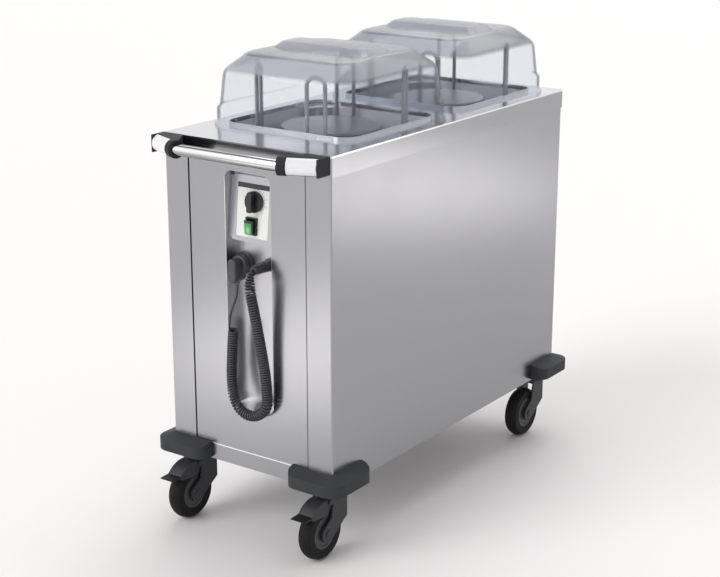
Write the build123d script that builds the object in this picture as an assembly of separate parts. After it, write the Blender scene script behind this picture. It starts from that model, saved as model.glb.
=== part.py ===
from build123d import *
from bisect import bisect_left
from math import atan, cos, pi, radians, sin, sqrt, tan
import os

# A heated plate dispenser trolley with two sprung wells. Sizes are in millimetres.
# The operator's end, with the handle and the controls, faces -Y. The floor is at z = 0.

# Cabinet
body_width = 448.0
body_length = 972.0
deck_height = 900.0
base_height = 163.0
sheet = 2.0
bend_radius = 4.0
panel_fit = 0.2
seam_gap = 0.5
panel_inset = 1.5
corner_wrap = 64.5
rail_height = 39.0
panel_return = 14.0
deck_skirt = 45.0
pan_floor = 3.0
swage_depth = 6.0
swage_width = 200.0
swage_length = 500.0
swage_slope = 10.0

# Wells, their openings in the deck and the plate guides
well_margin = 35.0
well_corner = 38.0
well_floor_height = 200.0
collar_height = 8.0
guide_rod = 9.0
guide_margin = 6.0
guide_span = 40.0
guide_angle = 25.0
guide_rise = 129.0
guide_bearing_drop = 54.0
guide_bearing_thick = 10.0
guide_foot_gap = 6.0
running_fit = 0.05

# Lift under each platform
platform_diameter = 228.0
platform_drop = 8.0
platform_rim = 16.0
post_diameter = 30.0
beam_height = 28.0
beam_width = 36.0
beam_drop = 232.0
column_diameter = 20.0
column_margin = 23.0
bush_diameter = 38.0
bush_height = 64.0
spring_diameter = 15.0
spring_wire = 2.5
spring_offset = 27.0
hanger_thick = 4.0
heater_width = 240.0
heater_height = 360.0
heater_thick = 6.0

# Hoods over the wells, square, with the strips of deck that they leave free
hood_side = 17.0
hood_front = 100.0
hood_between = 27.0
hood_rear = 17.0
hood_corner = 75.0
hood_wall = 3.0
hood_flange = 16.0
hood_flange_thick = 6.0
hood_band_top = 39.0
hood_step = 7.0
hood_shoulder_low = 121.5
hood_shoulder_high = 161.0
hood_lean = 17.0
hood_shoulder_in = 29.0
grip_end = 76.0
grip_width = 104.0
grip_rise = 14.0
grip_slope = 16.0
rest_gap = 0.3

# Recess and controls, measured down from the deck
recess_x = 3.5
recess_width = 127.0
recess_low_drop = 598.0
recess_top_drop = 60.5
recess_corner = 22.0
recess_depth = 32.0
recess_wall = 1.5
recess_flange = 12.0
face_width = 118.0
face_low_drop = 216.0
face_top_drop = 74.0
face_stand = 6.0
face_lean = 6.0
face_corner = 12.0
label_width = 86.0
label_depth = 0.8
label_low_drop = 206.5
label_top_drop = 89.0
knob_x = 8.5
knob_drop = 128.0
knob_diameter = 46.0
knob_base = 8.0
knob_grip = 14.0
knob_grip_width = 13.0
shaft_diameter = 6.0
switch_drop = 180.5
switch_width = 30.0
switch_tall = 38.0
switch_frame = 1.5
switch_lip = 5.5
switch_body = 30.0
rocker_out = 13.0
rocker_back = 4.5
rocker_tilt = 9.0
rocker_pin = 3.0

# Plug, socket, gland and cord
socket_x = -30.0
socket_drop = 270.0
socket_diameter = 50.0
socket_depth = 9.0
plug_diameter = 42.0
plug_length = 48.0
plug_base = 24.0
plug_grip = 23.0
plug_grip_top = 17.0
plug_grip_low = 36.0
neck_diameter = 18.0
neck_length = 40.0
gland_x = 43.0
gland_drop = 262.0
gland_nut = 30.0
gland_nut_thick = 12.0
gland_throat = 16.0
boot_length = 53.0
boot_root = 26.0
boot_tip = 20.0
boot_ribs = 5
boot_groove = 1.2
cord_diameter = 5.0
cord_straight = 8.0
curl_diameter = 24.0
curl_turns = 92.875
curl_gap = 0.55
curl_stretch = 0.1
curl_lead = 16.0
curl_steps = 60
wire_step = 0.4

# Handle
handle_diameter = 25.0
handle_reach = 60.8
handle_drop = 18.5
bracket_tall = 38.0
bracket_flank = 40.0
bracket_foot = 56.0
ring_diameter = 40.0
ring_length = 20.0
bracket_inner = 135.0
arm_diameter = 31.0
cap_thick = 2.2
bracket_end = 5.0
tube_insert = 14.0

# Bumpers
bumper_reach = 35.0
bumper_front = 27.0
bumper_tall = 39.0
bumper_arm = 109.0
bumper_lift = 2.0
bumper_end = 30.0

# Castors
castor_inset = 37.5
castor_end_inset = 46.0
castor_trail = 43.0
wheel_diameter = 125.0
wheel_width = 32.0
hub_diameter = 74.0
axle_diameter = 8.0
axle_head = 2.0
fork_gap = 3.5
fork_leg = 4.5
head_diameter = 62.0
head_bottom = 135.0
king_pin = 12.0
mount_thick = 5.0
turn_gap = 0.5
pedal_skirt = 1.8
pedal_plate = 2.5
pedal_tip = 121.0
pedal_pivot = 6.0

# Places worked out from the sizes above
half_width = body_width / 2
half_length = body_length / 2
front_face = -half_length
skirt_face = front_face - sheet - panel_fit
hood_room = (body_length - hood_front - hood_between - hood_rear) / 2
hood_width = min(body_width - 2 * hood_side, hood_room)
grip_length = hood_width - 2 * grip_end
well_centres = {
    "front": front_face + hood_front + hood_width / 2,
    "rear": half_length - hood_rear - hood_width / 2,
}
well_half = hood_width / 2 - well_margin
guide_circle = well_half - guide_margin
column_reach = well_half + column_margin
deck_under = deck_height - sheet
guide_top = deck_height + guide_rise
guide_bearing_height = deck_height - guide_bearing_drop
recess_bottom = deck_height - recess_low_drop
recess_top = deck_height - recess_top_drop
face_bottom = deck_height - face_low_drop
face_top = deck_height - face_top_drop
label_bottom = deck_height - label_low_drop
label_top = deck_height - label_top_drop
knob_height = deck_height - knob_drop
switch_height = deck_height - switch_drop
socket_height = deck_height - socket_drop
gland_height = deck_height - gland_drop
recess_back = front_face + recess_depth
recess_middle = (recess_bottom + recess_top) / 2
boot_end = recess_back - gland_nut_thick - boot_length
neck_y = recess_back - plug_length + neck_diameter
curl_radius = (curl_diameter - cord_diameter) / 2
platform_top = deck_height - platform_drop
beam_top = platform_top - sheet - beam_drop + beam_height
column_x = column_reach * cos(pi / 4)
column_spots = ((column_x, -column_x), (-column_x, column_x))
handle_y = front_face - handle_reach
handle_z = deck_height - handle_drop
castor_x = half_width - castor_inset
castor_y = half_length - castor_end_inset
castor_spots = {
    "front_left": (-castor_x, -castor_y),
    "front_right": (castor_x, -castor_y),
    "rear_left": (-castor_x, castor_y),
    "rear_right": (castor_x, castor_y),
}
braked = ("front_left", "front_right")
fork_inner = wheel_width / 2 + fork_gap
fork_outer = fork_inner + fork_leg
axle_height = wheel_diameter / 2


def slab_y(sketch, y_start, depth):
    # A sketch drawn in X and Z, thickened from y_start towards -Y.
    plane = Plane((0, y_start, 0), x_dir=(1, 0, 0), z_dir=(0, -1, 0))
    return extrude(plane * sketch, depth, dir=(0, -1, 0))


def slab_x(sketch, x_start, depth):
    # A sketch drawn in Y and Z, thickened from x_start towards +X.
    plane = Plane((x_start, 0, 0), x_dir=(0, 1, 0), z_dir=(1, 0, 0))
    return extrude(plane * sketch, depth, dir=(1, 0, 0))


def slab_z(sketch, z_start, height):
    return Pos(0, 0, z_start) * extrude(sketch, height, dir=(0, 0, 1))


def disc(diameter, z_start, height):
    return slab_z(Circle(diameter / 2), z_start, height)


def tube_z(outer, inner, z_start, height):
    return slab_z(Circle(outer / 2) - Circle(inner / 2), z_start, height)


def rounded(width, depth, corner):
    return RectangleRounded(width, depth, corner)


def frustum(lower, upper, z_low, z_high):
    # A straight-sided body between two sketches.
    return loft([Pos(0, 0, z_low) * lower, Pos(0, 0, z_high) * upper], ruled=True)


def make_base_frame():
    wide = body_width - 2 * sheet - 2 * panel_fit
    long = body_length - 2 * sheet - 2 * panel_fit
    tray = slab_z(rounded(wide, long, bend_radius), base_height, rail_height)
    inside = rounded(wide - 2 * sheet, long - 2 * sheet, bend_radius - sheet / 2)
    tray -= slab_z(inside, base_height + pan_floor, rail_height)
    rail_width = body_width - 2 * corner_wrap - 2 * seam_gap
    rail_thick = sheet + panel_fit
    for side in (-1, 1):
        rail = Rectangle(rail_width, rail_thick)
        tray += Pos(0, side * (half_length - rail_thick / 2), 0) * slab_z(rail, base_height, rail_height)
    tray += swage(0)
    return tray - swage(pan_floor)


def swage(inset):
    # The flat pad pressed down out of the pan, or the hollow above it.
    low = Rectangle(swage_width - 2 * (swage_slope + inset), swage_length - 2 * (swage_slope + inset))
    high = Rectangle(swage_width - 2 * inset, swage_length - 2 * inset)
    return frustum(low, high, base_height - swage_depth + inset, base_height + inset)


def make_side_panel(side):
    # One bent sheet: the flank and its two wraps round the corners.
    outline = rounded(body_width, body_length, bend_radius)
    outline -= rounded(body_width - 2 * sheet, body_length - 2 * sheet, bend_radius - sheet)
    keep = Pos(side * (half_width - corner_wrap / 2), 0) * Rectangle(corner_wrap, body_length)
    return slab_z(outline & keep, base_height, deck_under - base_height)


def make_end_panel(side):
    # A flat sheet, a little behind the rail, with folded returns along its two upright edges.
    wide = body_width - 2 * corner_wrap - 2 * seam_gap
    low = base_height + rail_height + seam_gap
    tall = deck_under - low
    face = half_length - panel_inset
    panel = Pos(0, side * (face - sheet / 2), 0) * slab_z(Rectangle(wide, sheet), low, tall)
    for edge in (-1, 1):
        fold = Pos(edge * (wide - sheet) / 2, side * (face - panel_return / 2), 0)
        panel += fold * slab_z(Rectangle(sheet, panel_return), low, tall)
    return panel


def recess_outline(inset):
    tall = recess_top - recess_bottom
    shape = rounded(recess_width - 2 * inset, tall - 2 * inset, recess_corner - inset)
    return Pos(recess_x, recess_middle) * shape


def make_front_panel():
    return make_end_panel(-1) - slab_y(recess_outline(0), front_face + panel_return, 2 * panel_return)


def make_deck():
    wide = body_width + 2 * sheet + 2 * panel_fit
    long = body_length + 2 * sheet + 2 * panel_fit
    deck = slab_z(rounded(wide, long, bend_radius), deck_height - deck_skirt, deck_skirt)
    hollow = rounded(wide - 2 * sheet, long - 2 * sheet, bend_radius - sheet)
    deck -= slab_z(hollow, deck_height - deck_skirt, deck_skirt - sheet)
    outer = rounded(2 * well_half + 2 * sheet, 2 * well_half + 2 * sheet, well_corner + sheet)
    opening = rounded(2 * well_half, 2 * well_half, well_corner)
    for centre in well_centres.values():
        deck += Pos(0, centre, 0) * slab_z(outer, deck_under, sheet + collar_height)
        deck -= Pos(0, centre, 0) * slab_z(opening, deck_under, sheet + collar_height)
    return deck


def guide_legs(turn):
    # The pivot leg and the swinging leg of one guide, from the middle of its well.
    angle = radians(turn)
    middle = Vector(guide_circle * cos(angle), guide_circle * sin(angle), 0)
    along = Vector(-sin(angle), cos(angle), 0) * (guide_span / 2)
    return middle - along, middle + along


def guide_turns():
    return [guide_angle + 90.0 * step for step in range(4)]


def make_well(centre):
    # A shaft with a floor. Each pivot leg turns in a bearing on the wall and in a hole in the floor.
    outer = 2 * (well_half + sheet)
    tall = deck_under - well_floor_height
    shaft = slab_z(rounded(outer, outer, well_corner + sheet), well_floor_height, tall)
    inner = rounded(2 * well_half, 2 * well_half, well_corner)
    shaft -= slab_z(inner, well_floor_height + sheet, tall)
    bearing = 2 * guide_rod
    for turn in guide_turns():
        pivot = guide_legs(turn)[0]
        wall_reach = well_half - guide_legs(guide_angle)[0].X + bearing / 2
        block = Pos(pivot.X, pivot.Y) * Rot(0, 0, turn - guide_angle)
        block = block * (Pos((wall_reach - bearing) / 2, 0) * Rectangle(wall_reach, bearing))
        shaft += slab_z(block, guide_bearing_height, guide_bearing_thick)
        hole = Pos(pivot.X, pivot.Y) * Circle(guide_rod / 2 + running_fit)
        shaft -= slab_z(hole, well_floor_height, guide_bearing_height)
    for x, y in column_spots:
        shaft -= Pos(x, y, 0) * disc(column_diameter + 2 * seam_gap, well_floor_height, sheet)
    return Pos(0, centre, 0) * shaft


def make_guide(centre, turn):
    # A rod bent to an upside-down U. Its pivot leg reaches through the floor of the shaft.
    pivot, swing = guide_legs(turn)
    high = guide_top - guide_rod / 2
    bend = guide_span / 2 - 0.01
    bottom = well_floor_height + sheet + guide_foot_gap
    points = [
        Vector(pivot.X, pivot.Y, well_floor_height),
        Vector(pivot.X, pivot.Y, high),
        Vector(swing.X, swing.Y, high),
        Vector(swing.X, swing.Y, bottom),
    ]
    path = FilletPolyline(*points, radius=bend)
    rod = sweep(Plane(points[0], z_dir=(0, 0, 1)) * Circle(guide_rod / 2), path=path)
    return Pos(0, centre, 0) * rod


def make_platform(centre):
    # A round tray with a turned-down rim and a socket for its post.
    low = platform_top - platform_rim
    tray = disc(platform_diameter, low, platform_rim)
    tray = fillet(tray.edges().group_by(Axis.Z)[-1], 2 * sheet)
    tray -= disc(platform_diameter - 2 * sheet, low, platform_rim - sheet)
    return Pos(0, centre, 0) * tray


def make_carriage(centre):
    # A cross beam with a bush at each end that runs on a column, and a post up to the platform.
    low = beam_top - beam_height
    reach = 2 * column_reach
    beam = Rot(0, 0, -45) * slab_z(Rectangle(reach, beam_width), low, beam_height)
    beam -= Rot(0, 0, -45) * slab_z(Rectangle(reach, beam_width - 2 * sheet), low, beam_height - sheet)
    for x, y in column_spots:
        beam += Pos(x, y, 0) * disc(bush_diameter, low, bush_height)
        beam += Pos(x, y, 0) * (Rot(0, 0, 45) * hook_plate(low))
    for x, y in column_spots:
        beam -= Pos(x, y, 0) * disc(column_diameter + 2 * running_fit, low - sheet, bush_height + 2 * sheet)
    tall = platform_top - sheet - beam_top + sheet
    beam += tube_z(post_diameter, post_diameter - 2 * sheet, beam_top - sheet, tall)
    beam += disc(3 * post_diameter, platform_top - 2 * sheet, sheet)
    return Pos(0, centre, 0) * beam


def hook_plate(low):
    # The ears that the tension springs hook under, one each side of a bush.
    return slab_z(Rectangle(2 * spring_offset + spring_diameter, spring_diameter), low, sheet)


def make_lift_columns():
    columns = []
    for centre in well_centres.values():
        for x, y in column_spots:
            floor = base_height + pan_floor
            column = disc(column_diameter, floor, deck_under - floor)
            column += disc(2 * column_diameter, floor, sheet)
            column += Rot(0, 0, 45) * hook_plate(deck_under - hanger_thick)
            columns.append(Pos(x, centre + y, 0) * column)
    return Compound(columns)


def make_springs(centre):
    # Tension springs from the hangers under the deck down to the ears of the carriage.
    low = beam_top - beam_height + sheet
    high = deck_under - hanger_thick
    springs = []
    for x, y in column_spots:
        for side in (-1, 1):
            place = Pos(x, centre + y, 0) * Rot(0, 0, 45) * Pos(side * spring_offset, 0, 0)
            coil = tube_z(spring_diameter, spring_diameter - 2 * spring_wire, low, high - low)
            springs.append(place * coil)
    return Compound(springs)


def make_heaters():
    # A heater plate on the outer wall of each shaft, facing the ends of the cabinet.
    plates = []
    for name, centre in well_centres.items():
        side = -1 if name == "front" else 1
        place = Pos(0, centre + side * (well_half + sheet + heater_thick / 2), 0)
        plates.append(place * slab_z(Rectangle(heater_width, heater_thick), well_floor_height, heater_height))
    return Compound(plates)


def hood_solid(inset, top_inset):
    # The hood's outer form, or the hollow inside it.
    base = deck_height + rest_gap
    band = hood_width - 2 * hood_flange - 2 * inset
    wall = band - 2 * hood_step
    shoulder = wall - 2 * hood_lean
    crown = shoulder - 2 * hood_shoulder_in
    corner = hood_corner - hood_flange - inset
    around = rounded(band, band, corner)
    low = rounded(wall, wall, corner - hood_step)
    middle = rounded(shoulder, shoulder, corner - hood_step)
    high = rounded(crown, crown, corner - 2 * hood_step)
    step_low = base + hood_band_top - top_inset / 2
    step_high = step_low + hood_step
    body = slab_z(around, base, step_low - base)
    body += frustum(around, low, step_low, step_high)
    body += frustum(low, middle, step_high, base + hood_shoulder_low)
    body += frustum(middle, high, base + hood_shoulder_low, base + hood_shoulder_high - top_inset)
    long = grip_length - 2 * inset
    wide = grip_width - 2 * inset
    grip_low = rounded(long, wide, grip_slope)
    grip_high = rounded(long - 2 * grip_slope, wide - 2 * grip_slope, grip_slope)
    crown_z = base + hood_shoulder_high - top_inset
    body += frustum(grip_low, grip_high, crown_z - hood_wall, crown_z + grip_rise)
    return body


def make_hood(centre):
    base = deck_height + rest_gap
    hood = hood_solid(0, 0)
    hood += slab_z(rounded(hood_width, hood_width, hood_corner), base, hood_flange_thick)
    hood -= hood_solid(hood_wall, hood_wall)
    return Pos(0, centre, 0) * hood


def face_frame(height, x=recess_x):
    # The leaning front of the control box at a height, with local -Y pointing out of it.
    rise = height - face_top
    y = recess_back - face_stand + rise * tan(radians(face_lean))
    return Pos(x, y, height) * Rot(-face_lean, 0, 0)


def make_control_recess():
    outer = recess_outline(panel_fit)
    pan = slab_y(outer, recess_back + recess_wall, recess_depth + recess_wall - panel_inset)
    pan -= slab_y(recess_outline(panel_fit + recess_wall), recess_back, recess_depth)
    flange = recess_outline(-recess_flange) - recess_outline(panel_fit)
    pan += slab_y(flange, front_face + panel_inset + sheet + recess_wall, recess_wall)
    holes = Pos(knob_x, knob_height) * Circle(shaft_diameter)
    holes += Pos(recess_x, switch_height) * Rectangle(switch_width, switch_tall)
    holes += Pos(gland_x, gland_height) * Circle(gland_throat / 2)
    pan -= slab_y(holes, recess_back + recess_wall, recess_wall)
    return pan


def make_control_face():
    tall = face_top - face_bottom
    lean = tall * tan(radians(face_lean))
    outline = Pos(recess_x, (face_top + face_bottom) / 2) * rounded(face_width, tall, face_corner)
    box = slab_y(outline, recess_back, face_stand + lean)
    y_top = recess_back - face_stand
    side = Polygon(
        (recess_back, face_bottom),
        (y_top - lean, face_bottom),
        (y_top, face_top),
        (recess_back, face_top),
        align=None,
    )
    box &= slab_x(side, recess_x - face_width / 2, face_width)
    middle = (label_bottom + label_top) / 2
    label = rounded(label_width, label_top - label_bottom, label_depth)
    box -= face_frame(middle) * slab_y(label, label_depth, 4 * label_depth)
    shaft = slab_y(Circle(shaft_diameter / 2 + running_fit), face_depth(), 2 * face_depth())
    box -= face_frame(knob_height, knob_x) * shaft
    hole = Rectangle(switch_width - 2 * switch_frame, switch_tall - 2 * switch_frame)
    box -= face_frame(switch_height) * slab_y(hole, face_depth(), 2 * face_depth())
    return box


def face_depth():
    # Deep enough to pass through the control box and the back of the recess.
    return recess_depth + recess_wall


def make_thermostat():
    # The body sits behind the recess and its shaft comes out through the face.
    back = recess_back + recess_wall
    outline = Pos(knob_x, knob_height) * rounded(knob_diameter, knob_diameter, switch_frame)
    body = slab_y(outline, back + switch_body, switch_body)
    shaft = slab_y(Circle(shaft_diameter / 2), face_depth(), face_depth() + knob_base)
    return body + face_frame(knob_height, knob_x) * shaft


def make_knob():
    # A skirted disc with a raised bar to grip. It turns on the thermostat's shaft.
    lift = label_depth - seam_gap
    knob = slab_y(Circle(knob_diameter / 2), lift, knob_base)
    knob = chamfer(knob.edges().group_by(Axis.Y)[0], label_depth)
    bar = rounded(knob_grip_width, knob_diameter - 2 * label_depth, knob_grip_width / 3)
    grip = slab_y(bar, lift - knob_base, knob_grip)
    knob += fillet(grip.edges().group_by(Axis.Y)[0], 2 * label_depth)
    knob -= slab_y(Circle(shaft_diameter / 2 + running_fit), lift, knob_base + label_depth)
    return face_frame(knob_height, knob_x) * knob


def make_switch_housing():
    wide = switch_width
    tall = switch_tall
    bezel = slab_y(rounded(wide, tall, switch_frame / 2), label_depth, switch_lip)
    body_width_in = wide - 2 * switch_frame - 2 * seam_gap
    body_tall_in = tall - 2 * switch_frame - 2 * seam_gap
    bezel += slab_y(Rectangle(body_width_in, body_tall_in), label_depth + switch_body, switch_body)
    pocket = Rectangle(body_width_in - 2 * sheet, body_tall_in - sheet)
    bezel -= slab_y(pocket, label_depth + switch_body / 3, switch_body)
    pin = slab_x(Circle(rocker_pin / 2 + running_fit), -wide / 2, wide)
    return face_frame(switch_height) * (bezel - pin)


def make_rocker():
    # A flat-faced rocker on a cross pin, resting with its upper end out.
    half = (switch_tall - 2 * switch_frame - 2 * seam_gap - sheet) / 2 - 2 * seam_gap
    wide = switch_width - 2 * switch_frame - 2 * seam_gap - 2 * sheet - 2 * seam_gap
    side = Polygon(
        (rocker_back, -half * 0.8),
        (-rocker_out, -half),
        (-rocker_out, half),
        (rocker_back, half * 0.8),
        align=None,
    )
    rocker = slab_x(side, -wide / 2, wide)
    pin_reach = wide + 2 * sheet
    rocker += slab_x(Circle(rocker_pin / 2), -pin_reach / 2, pin_reach)
    return face_frame(switch_height) * (Rot(rocker_tilt, 0, 0) * rocker)


def make_parking_socket():
    # A raised ring on the back of the recess that the plug is parked in.
    ring = slab_y(Circle(socket_diameter / 2), recess_back, socket_depth)
    ring = fillet(ring.edges().group_by(Axis.Y)[0], sheet)
    ring -= slab_y(Circle(plug_diameter / 2 + panel_fit), recess_back - sheet, socket_depth)
    return Pos(socket_x, 0, socket_height) * ring


def make_plug():
    # An angled plug: a round base in the socket, an upright grip and a short neck that points down.
    start = recess_back - sheet
    body = slab_y(Circle(plug_diameter / 2), start, plug_base)
    body = fillet(body.edges().group_by(Axis.Y)[0], plug_diameter / 8)
    outline = Pos(0, (plug_grip_top - plug_grip_low) / 2) * rounded(
        plug_grip, plug_grip_top + plug_grip_low, plug_grip * 0.48
    )
    grip = slab_y(outline, start - plug_base / 2, plug_length - plug_base / 2)
    body += fillet(grip.edges().group_by(Axis.Y)[0], plug_grip / 5)
    neck = Pos(0, neck_y, -neck_length) * Cone(
        cord_diameter, neck_diameter / 2, neck_length, align=(Align.CENTER, Align.CENTER, Align.MIN)
    )
    return Pos(socket_x, 0, socket_height) * (body + neck)


def make_cable_gland():
    # A clamping nut on the back of the recess and a ribbed boot that keeps the cord from kinking.
    nut = slab_y(RegularPolygon(gland_nut / 2, 6), recess_back, gland_nut_thick)
    throat = recess_wall + sheet
    nut += slab_y(Circle(gland_throat / 2 - panel_fit), recess_back + throat, throat)
    pitch = boot_length / boot_ribs
    outline = [(0, 0), (boot_root / 2, 0)]
    for rib in range(boot_ribs):
        radius = boot_root / 2 + (boot_tip - boot_root) / 2 * rib / (boot_ribs - 1)
        start = rib * pitch
        outline += [(radius, start), (radius, start + pitch * 0.6)]
        if rib < boot_ribs - 1:
            groove = radius - boot_groove
            outline += [(groove, start + pitch * 0.65), (groove, start + pitch * 0.95)]
    outline += [(boot_tip / 2 - boot_groove, boot_length), (0, boot_length)]
    outline = list(dict.fromkeys(outline))
    boot = revolve(make_face(Polyline(*outline, close=True)), Axis.Y)
    boot = Pos(0, recess_back - gland_nut_thick, 0) * (Rot(180, 0, 0) * boot)
    bore = Circle(cord_diameter / 2 + panel_fit)
    boot -= slab_y(bore, boot_end + cord_straight, 2 * cord_straight)
    return Pos(gland_x, 0, gland_height) * (nut + boot)


def bracket_axis():
    # The leaning arm of the right-hand bracket, from the tube's end to the flank of the cabinet.
    inner = Vector(bracket_inner, handle_y, handle_z)
    outer = Vector(half_width, skirt_face - bracket_flank + arm_diameter / 2 + cap_thick, handle_z)
    return inner, outer


def bar_between(start, end, diameter):
    along = end - start
    plane = Plane(start, x_dir=(0, 0, 1), z_dir=along)
    return extrude(plane * Circle(diameter / 2), along.length)


def make_bracket():
    # A ring round the end of the tube, a round arm and a gusset that is bolted to the skirt.
    inner, outer = bracket_axis()
    along = (outer - inner).normalized()
    ring_end = inner + along * ring_length
    beyond = outer + along * arm_diameter
    core = bar_between(inner, ring_end, ring_diameter)
    core = fillet(core.edges(), sheet)
    core += bar_between(ring_end - along * sheet, beyond, arm_diameter)
    gusset = Polygon(
        (half_width, skirt_face),
        (half_width, outer.Y),
        (ring_end.X, ring_end.Y),
        (inner.X + sheet, inner.Y + arm_diameter / 3),
        (half_width - bracket_foot, skirt_face),
        align=None,
    )
    core += slab_z(gusset, handle_z - bracket_tall / 2, bracket_tall)
    flank = Polygon(
        (half_width, skirt_face),
        (half_width, outer.Y - arm_diameter / 2 - cap_thick),
        (half_width - bracket_end, outer.Y - arm_diameter / 2 - cap_thick),
        (half_width - bracket_end, skirt_face),
        align=None,
    )
    core += slab_z(flank, handle_z - bracket_tall / 2, bracket_tall)
    keep = Pos(half_width / 2, 0, handle_z) * Box(half_width, 4 * body_length, body_length)
    core &= keep
    return core - bar_between(tube_end(-1), tube_end(1), handle_diameter + 2 * running_fit)


def tube_end(side):
    return Vector(side * (bracket_inner + tube_insert), handle_y, handle_z)


def make_handle_brackets():
    right = make_bracket()
    return Compound([right, mirror(right, Plane.YZ)])


def make_handle_caps():
    # Light half-round covers on the front of the arms.
    inner, outer = bracket_axis()
    along = (outer - inner).normalized()
    start = inner + along * (ring_length + seam_gap)
    beyond = outer + along * arm_diameter
    shell = bar_between(start, beyond, arm_diameter + 2 * cap_thick)
    shell -= bar_between(start, beyond, arm_diameter)
    facing = Plane(start, x_dir=along, z_dir=(0, 0, 1))
    front_half = facing * Pos(0, -seam_gap / 2, 0) * Box(
        4 * half_width, arm_diameter, 2 * arm_diameter, align=(Align.CENTER, Align.MAX, Align.CENTER)
    )
    shell &= front_half
    end = half_width - bracket_end - panel_fit
    keep = Pos(end / 2, 0, handle_z) * Box(end, 4 * body_length, body_length)
    right = shell & keep
    return Compound([right, mirror(right, Plane.YZ)])


def make_handle_tube():
    return bar_between(tube_end(-1), tube_end(1), handle_diameter)


def make_bumpers():
    # Two straight arms and a turned corner, all of one section with a sloping top.
    low = base_height + bumper_lift
    section = Polygon(
        (0, low), (bumper_reach, low), (bumper_reach, low + bumper_front), (0, low + bumper_tall), align=None
    )
    turned = revolve(Plane.XZ * section, Axis.Z, revolution_arc=90)
    corner = Rot(0, 0, -90) * turned
    plane_y = Plane((0, 0, 0), x_dir=(1, 0, 0), z_dir=(0, -1, 0))
    side_arm = Pos(0, bumper_arm, 0) * extrude(plane_y * section, bumper_arm, dir=(0, -1, 0))
    plane_x = Plane((0, 0, 0), x_dir=(0, -1, 0), z_dir=(-1, 0, 0))
    front_arm = extrude(plane_x * section, bumper_arm, dir=(-1, 0, 0))
    far_edge = side_arm.edges().filter_by(Axis.Z).group_by(Axis.Y)[-1].sort_by(Axis.X)[-1]
    side_arm = fillet(far_edge, bumper_end)
    far_edge = front_arm.edges().filter_by(Axis.Z).group_by(Axis.X)[0].sort_by(Axis.Y)[0]
    front_arm = fillet(far_edge, bumper_end)
    front_right = Pos(half_width, front_face, 0) * (corner + side_arm + front_arm)
    front_left = mirror(front_right, Plane.YZ)
    rear = [mirror(piece, Plane.XZ) for piece in (front_right, front_left)]
    return Compound([front_right, front_left] + rear)


def make_caster_mounts():
    # A disc bolted under the pan and a king pin with a foot that carries the fork.
    mounts = []
    foot_top = head_bottom - turn_gap
    for x, y in castor_spots.values():
        mount = disc(head_diameter + 2 * sheet, base_height - mount_thick, mount_thick)
        mount += disc(king_pin, foot_top - mount_thick, base_height - foot_top)
        mount += disc(2 * king_pin, foot_top - mount_thick / 2, mount_thick / 2)
        mounts.append(Pos(x, y, 0) * mount)
    return Compound(mounts)


def make_fork(name):
    x, y = castor_spots[name]
    head_top = base_height - mount_thick - turn_gap
    head_low = head_bottom + 1.3 * mount_thick
    head = disc(head_diameter, head_low, head_top - head_low)
    head = fillet(head.edges().group_by(Axis.Z)[-1], 2 * sheet)
    crown_back = head_diameter * 0.42
    crown_front = -head_diameter / 3
    crown = Pos(0, (crown_back + crown_front) / 2, 0) * slab_z(
        Rectangle(2 * fork_outer, crown_back - crown_front), head_bottom, 3 * mount_thick
    )
    fork = head + crown
    eye = head_diameter / 3
    shoulder = head_bottom + 2 * mount_thick
    outline = Polygon(
        (crown_front, shoulder),
        (crown_back, shoulder),
        (crown_back, axle_height + eye),
        (-castor_trail + eye * 0.7, axle_height - eye * 0.7),
        (-castor_trail - eye * 0.7, axle_height + eye * 0.7),
        (crown_front - eye / 2, axle_height + 1.6 * eye),
        align=None,
    )
    outline = fillet(outline.vertices().group_by(Axis.Y)[1], eye / 2)
    outline += Pos(-castor_trail, axle_height) * Circle(eye)
    if name in braked:
        ear = Pos(*pedal_axis()) * Circle(pedal_pivot)
        outline += ear + Pos(crown_front, pedal_axis()[1]) * Rectangle(head_diameter / 3, 2 * pedal_pivot)
    holes = Pos(-castor_trail, axle_height) * Circle(axle_diameter / 2 + running_fit)
    if name in braked:
        holes += Pos(*pedal_axis()) * Circle(pedal_pivot / 2 + running_fit)
    for start in (-fork_outer, fork_inner):
        fork += slab_x(outline, start, fork_leg)
    fork -= slab_x(holes, -fork_outer, 2 * fork_outer)
    fork -= disc(king_pin + 2 * running_fit, 0, base_height)
    fork -= disc(2 * king_pin + 2 * turn_gap, 0, head_bottom)
    return Pos(x, y, 0) * fork


def pedal_axis():
    # Behind the wheel's top and clear of it.
    return -head_diameter / 2, head_bottom - sheet + panel_fit


def make_axle(name):
    x, y = castor_spots[name]
    pin = slab_x(Circle(axle_diameter / 2), -fork_outer - axle_head / 2, 2 * fork_outer + axle_head)
    for start in (-fork_outer - axle_head, fork_outer):
        pin += slab_x(Circle(axle_diameter), start, axle_head)
    return Pos(x, y - castor_trail, axle_height) * pin


def make_hub(name):
    # A wheel centre with a boss, a thin web and a rim, turned in one piece.
    x, y = castor_spots[name]
    boss = fork_inner - turn_gap
    half_rim = wheel_width / 2 - sheet
    bore = axle_diameter / 2 + running_fit
    boss_radius = 1.5 * axle_diameter
    rim_radius = hub_diameter / 2 - 3 * sheet
    outline = Polygon(
        (bore, -boss),
        (boss_radius, -boss),
        (boss_radius + sheet, -2 * sheet),
        (rim_radius - sheet, -2 * sheet),
        (rim_radius, -half_rim),
        (hub_diameter / 2, -half_rim),
        (hub_diameter / 2, half_rim),
        (rim_radius, half_rim),
        (rim_radius - sheet, 2 * sheet),
        (boss_radius + sheet, 2 * sheet),
        (boss_radius, boss),
        (bore, boss),
        align=None,
    )
    hub = revolve(Plane.XZ * outline, Axis.Z)
    hub = Rot(0, 90, 0) * hub
    return Pos(x, y - castor_trail, axle_height) * hub


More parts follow.
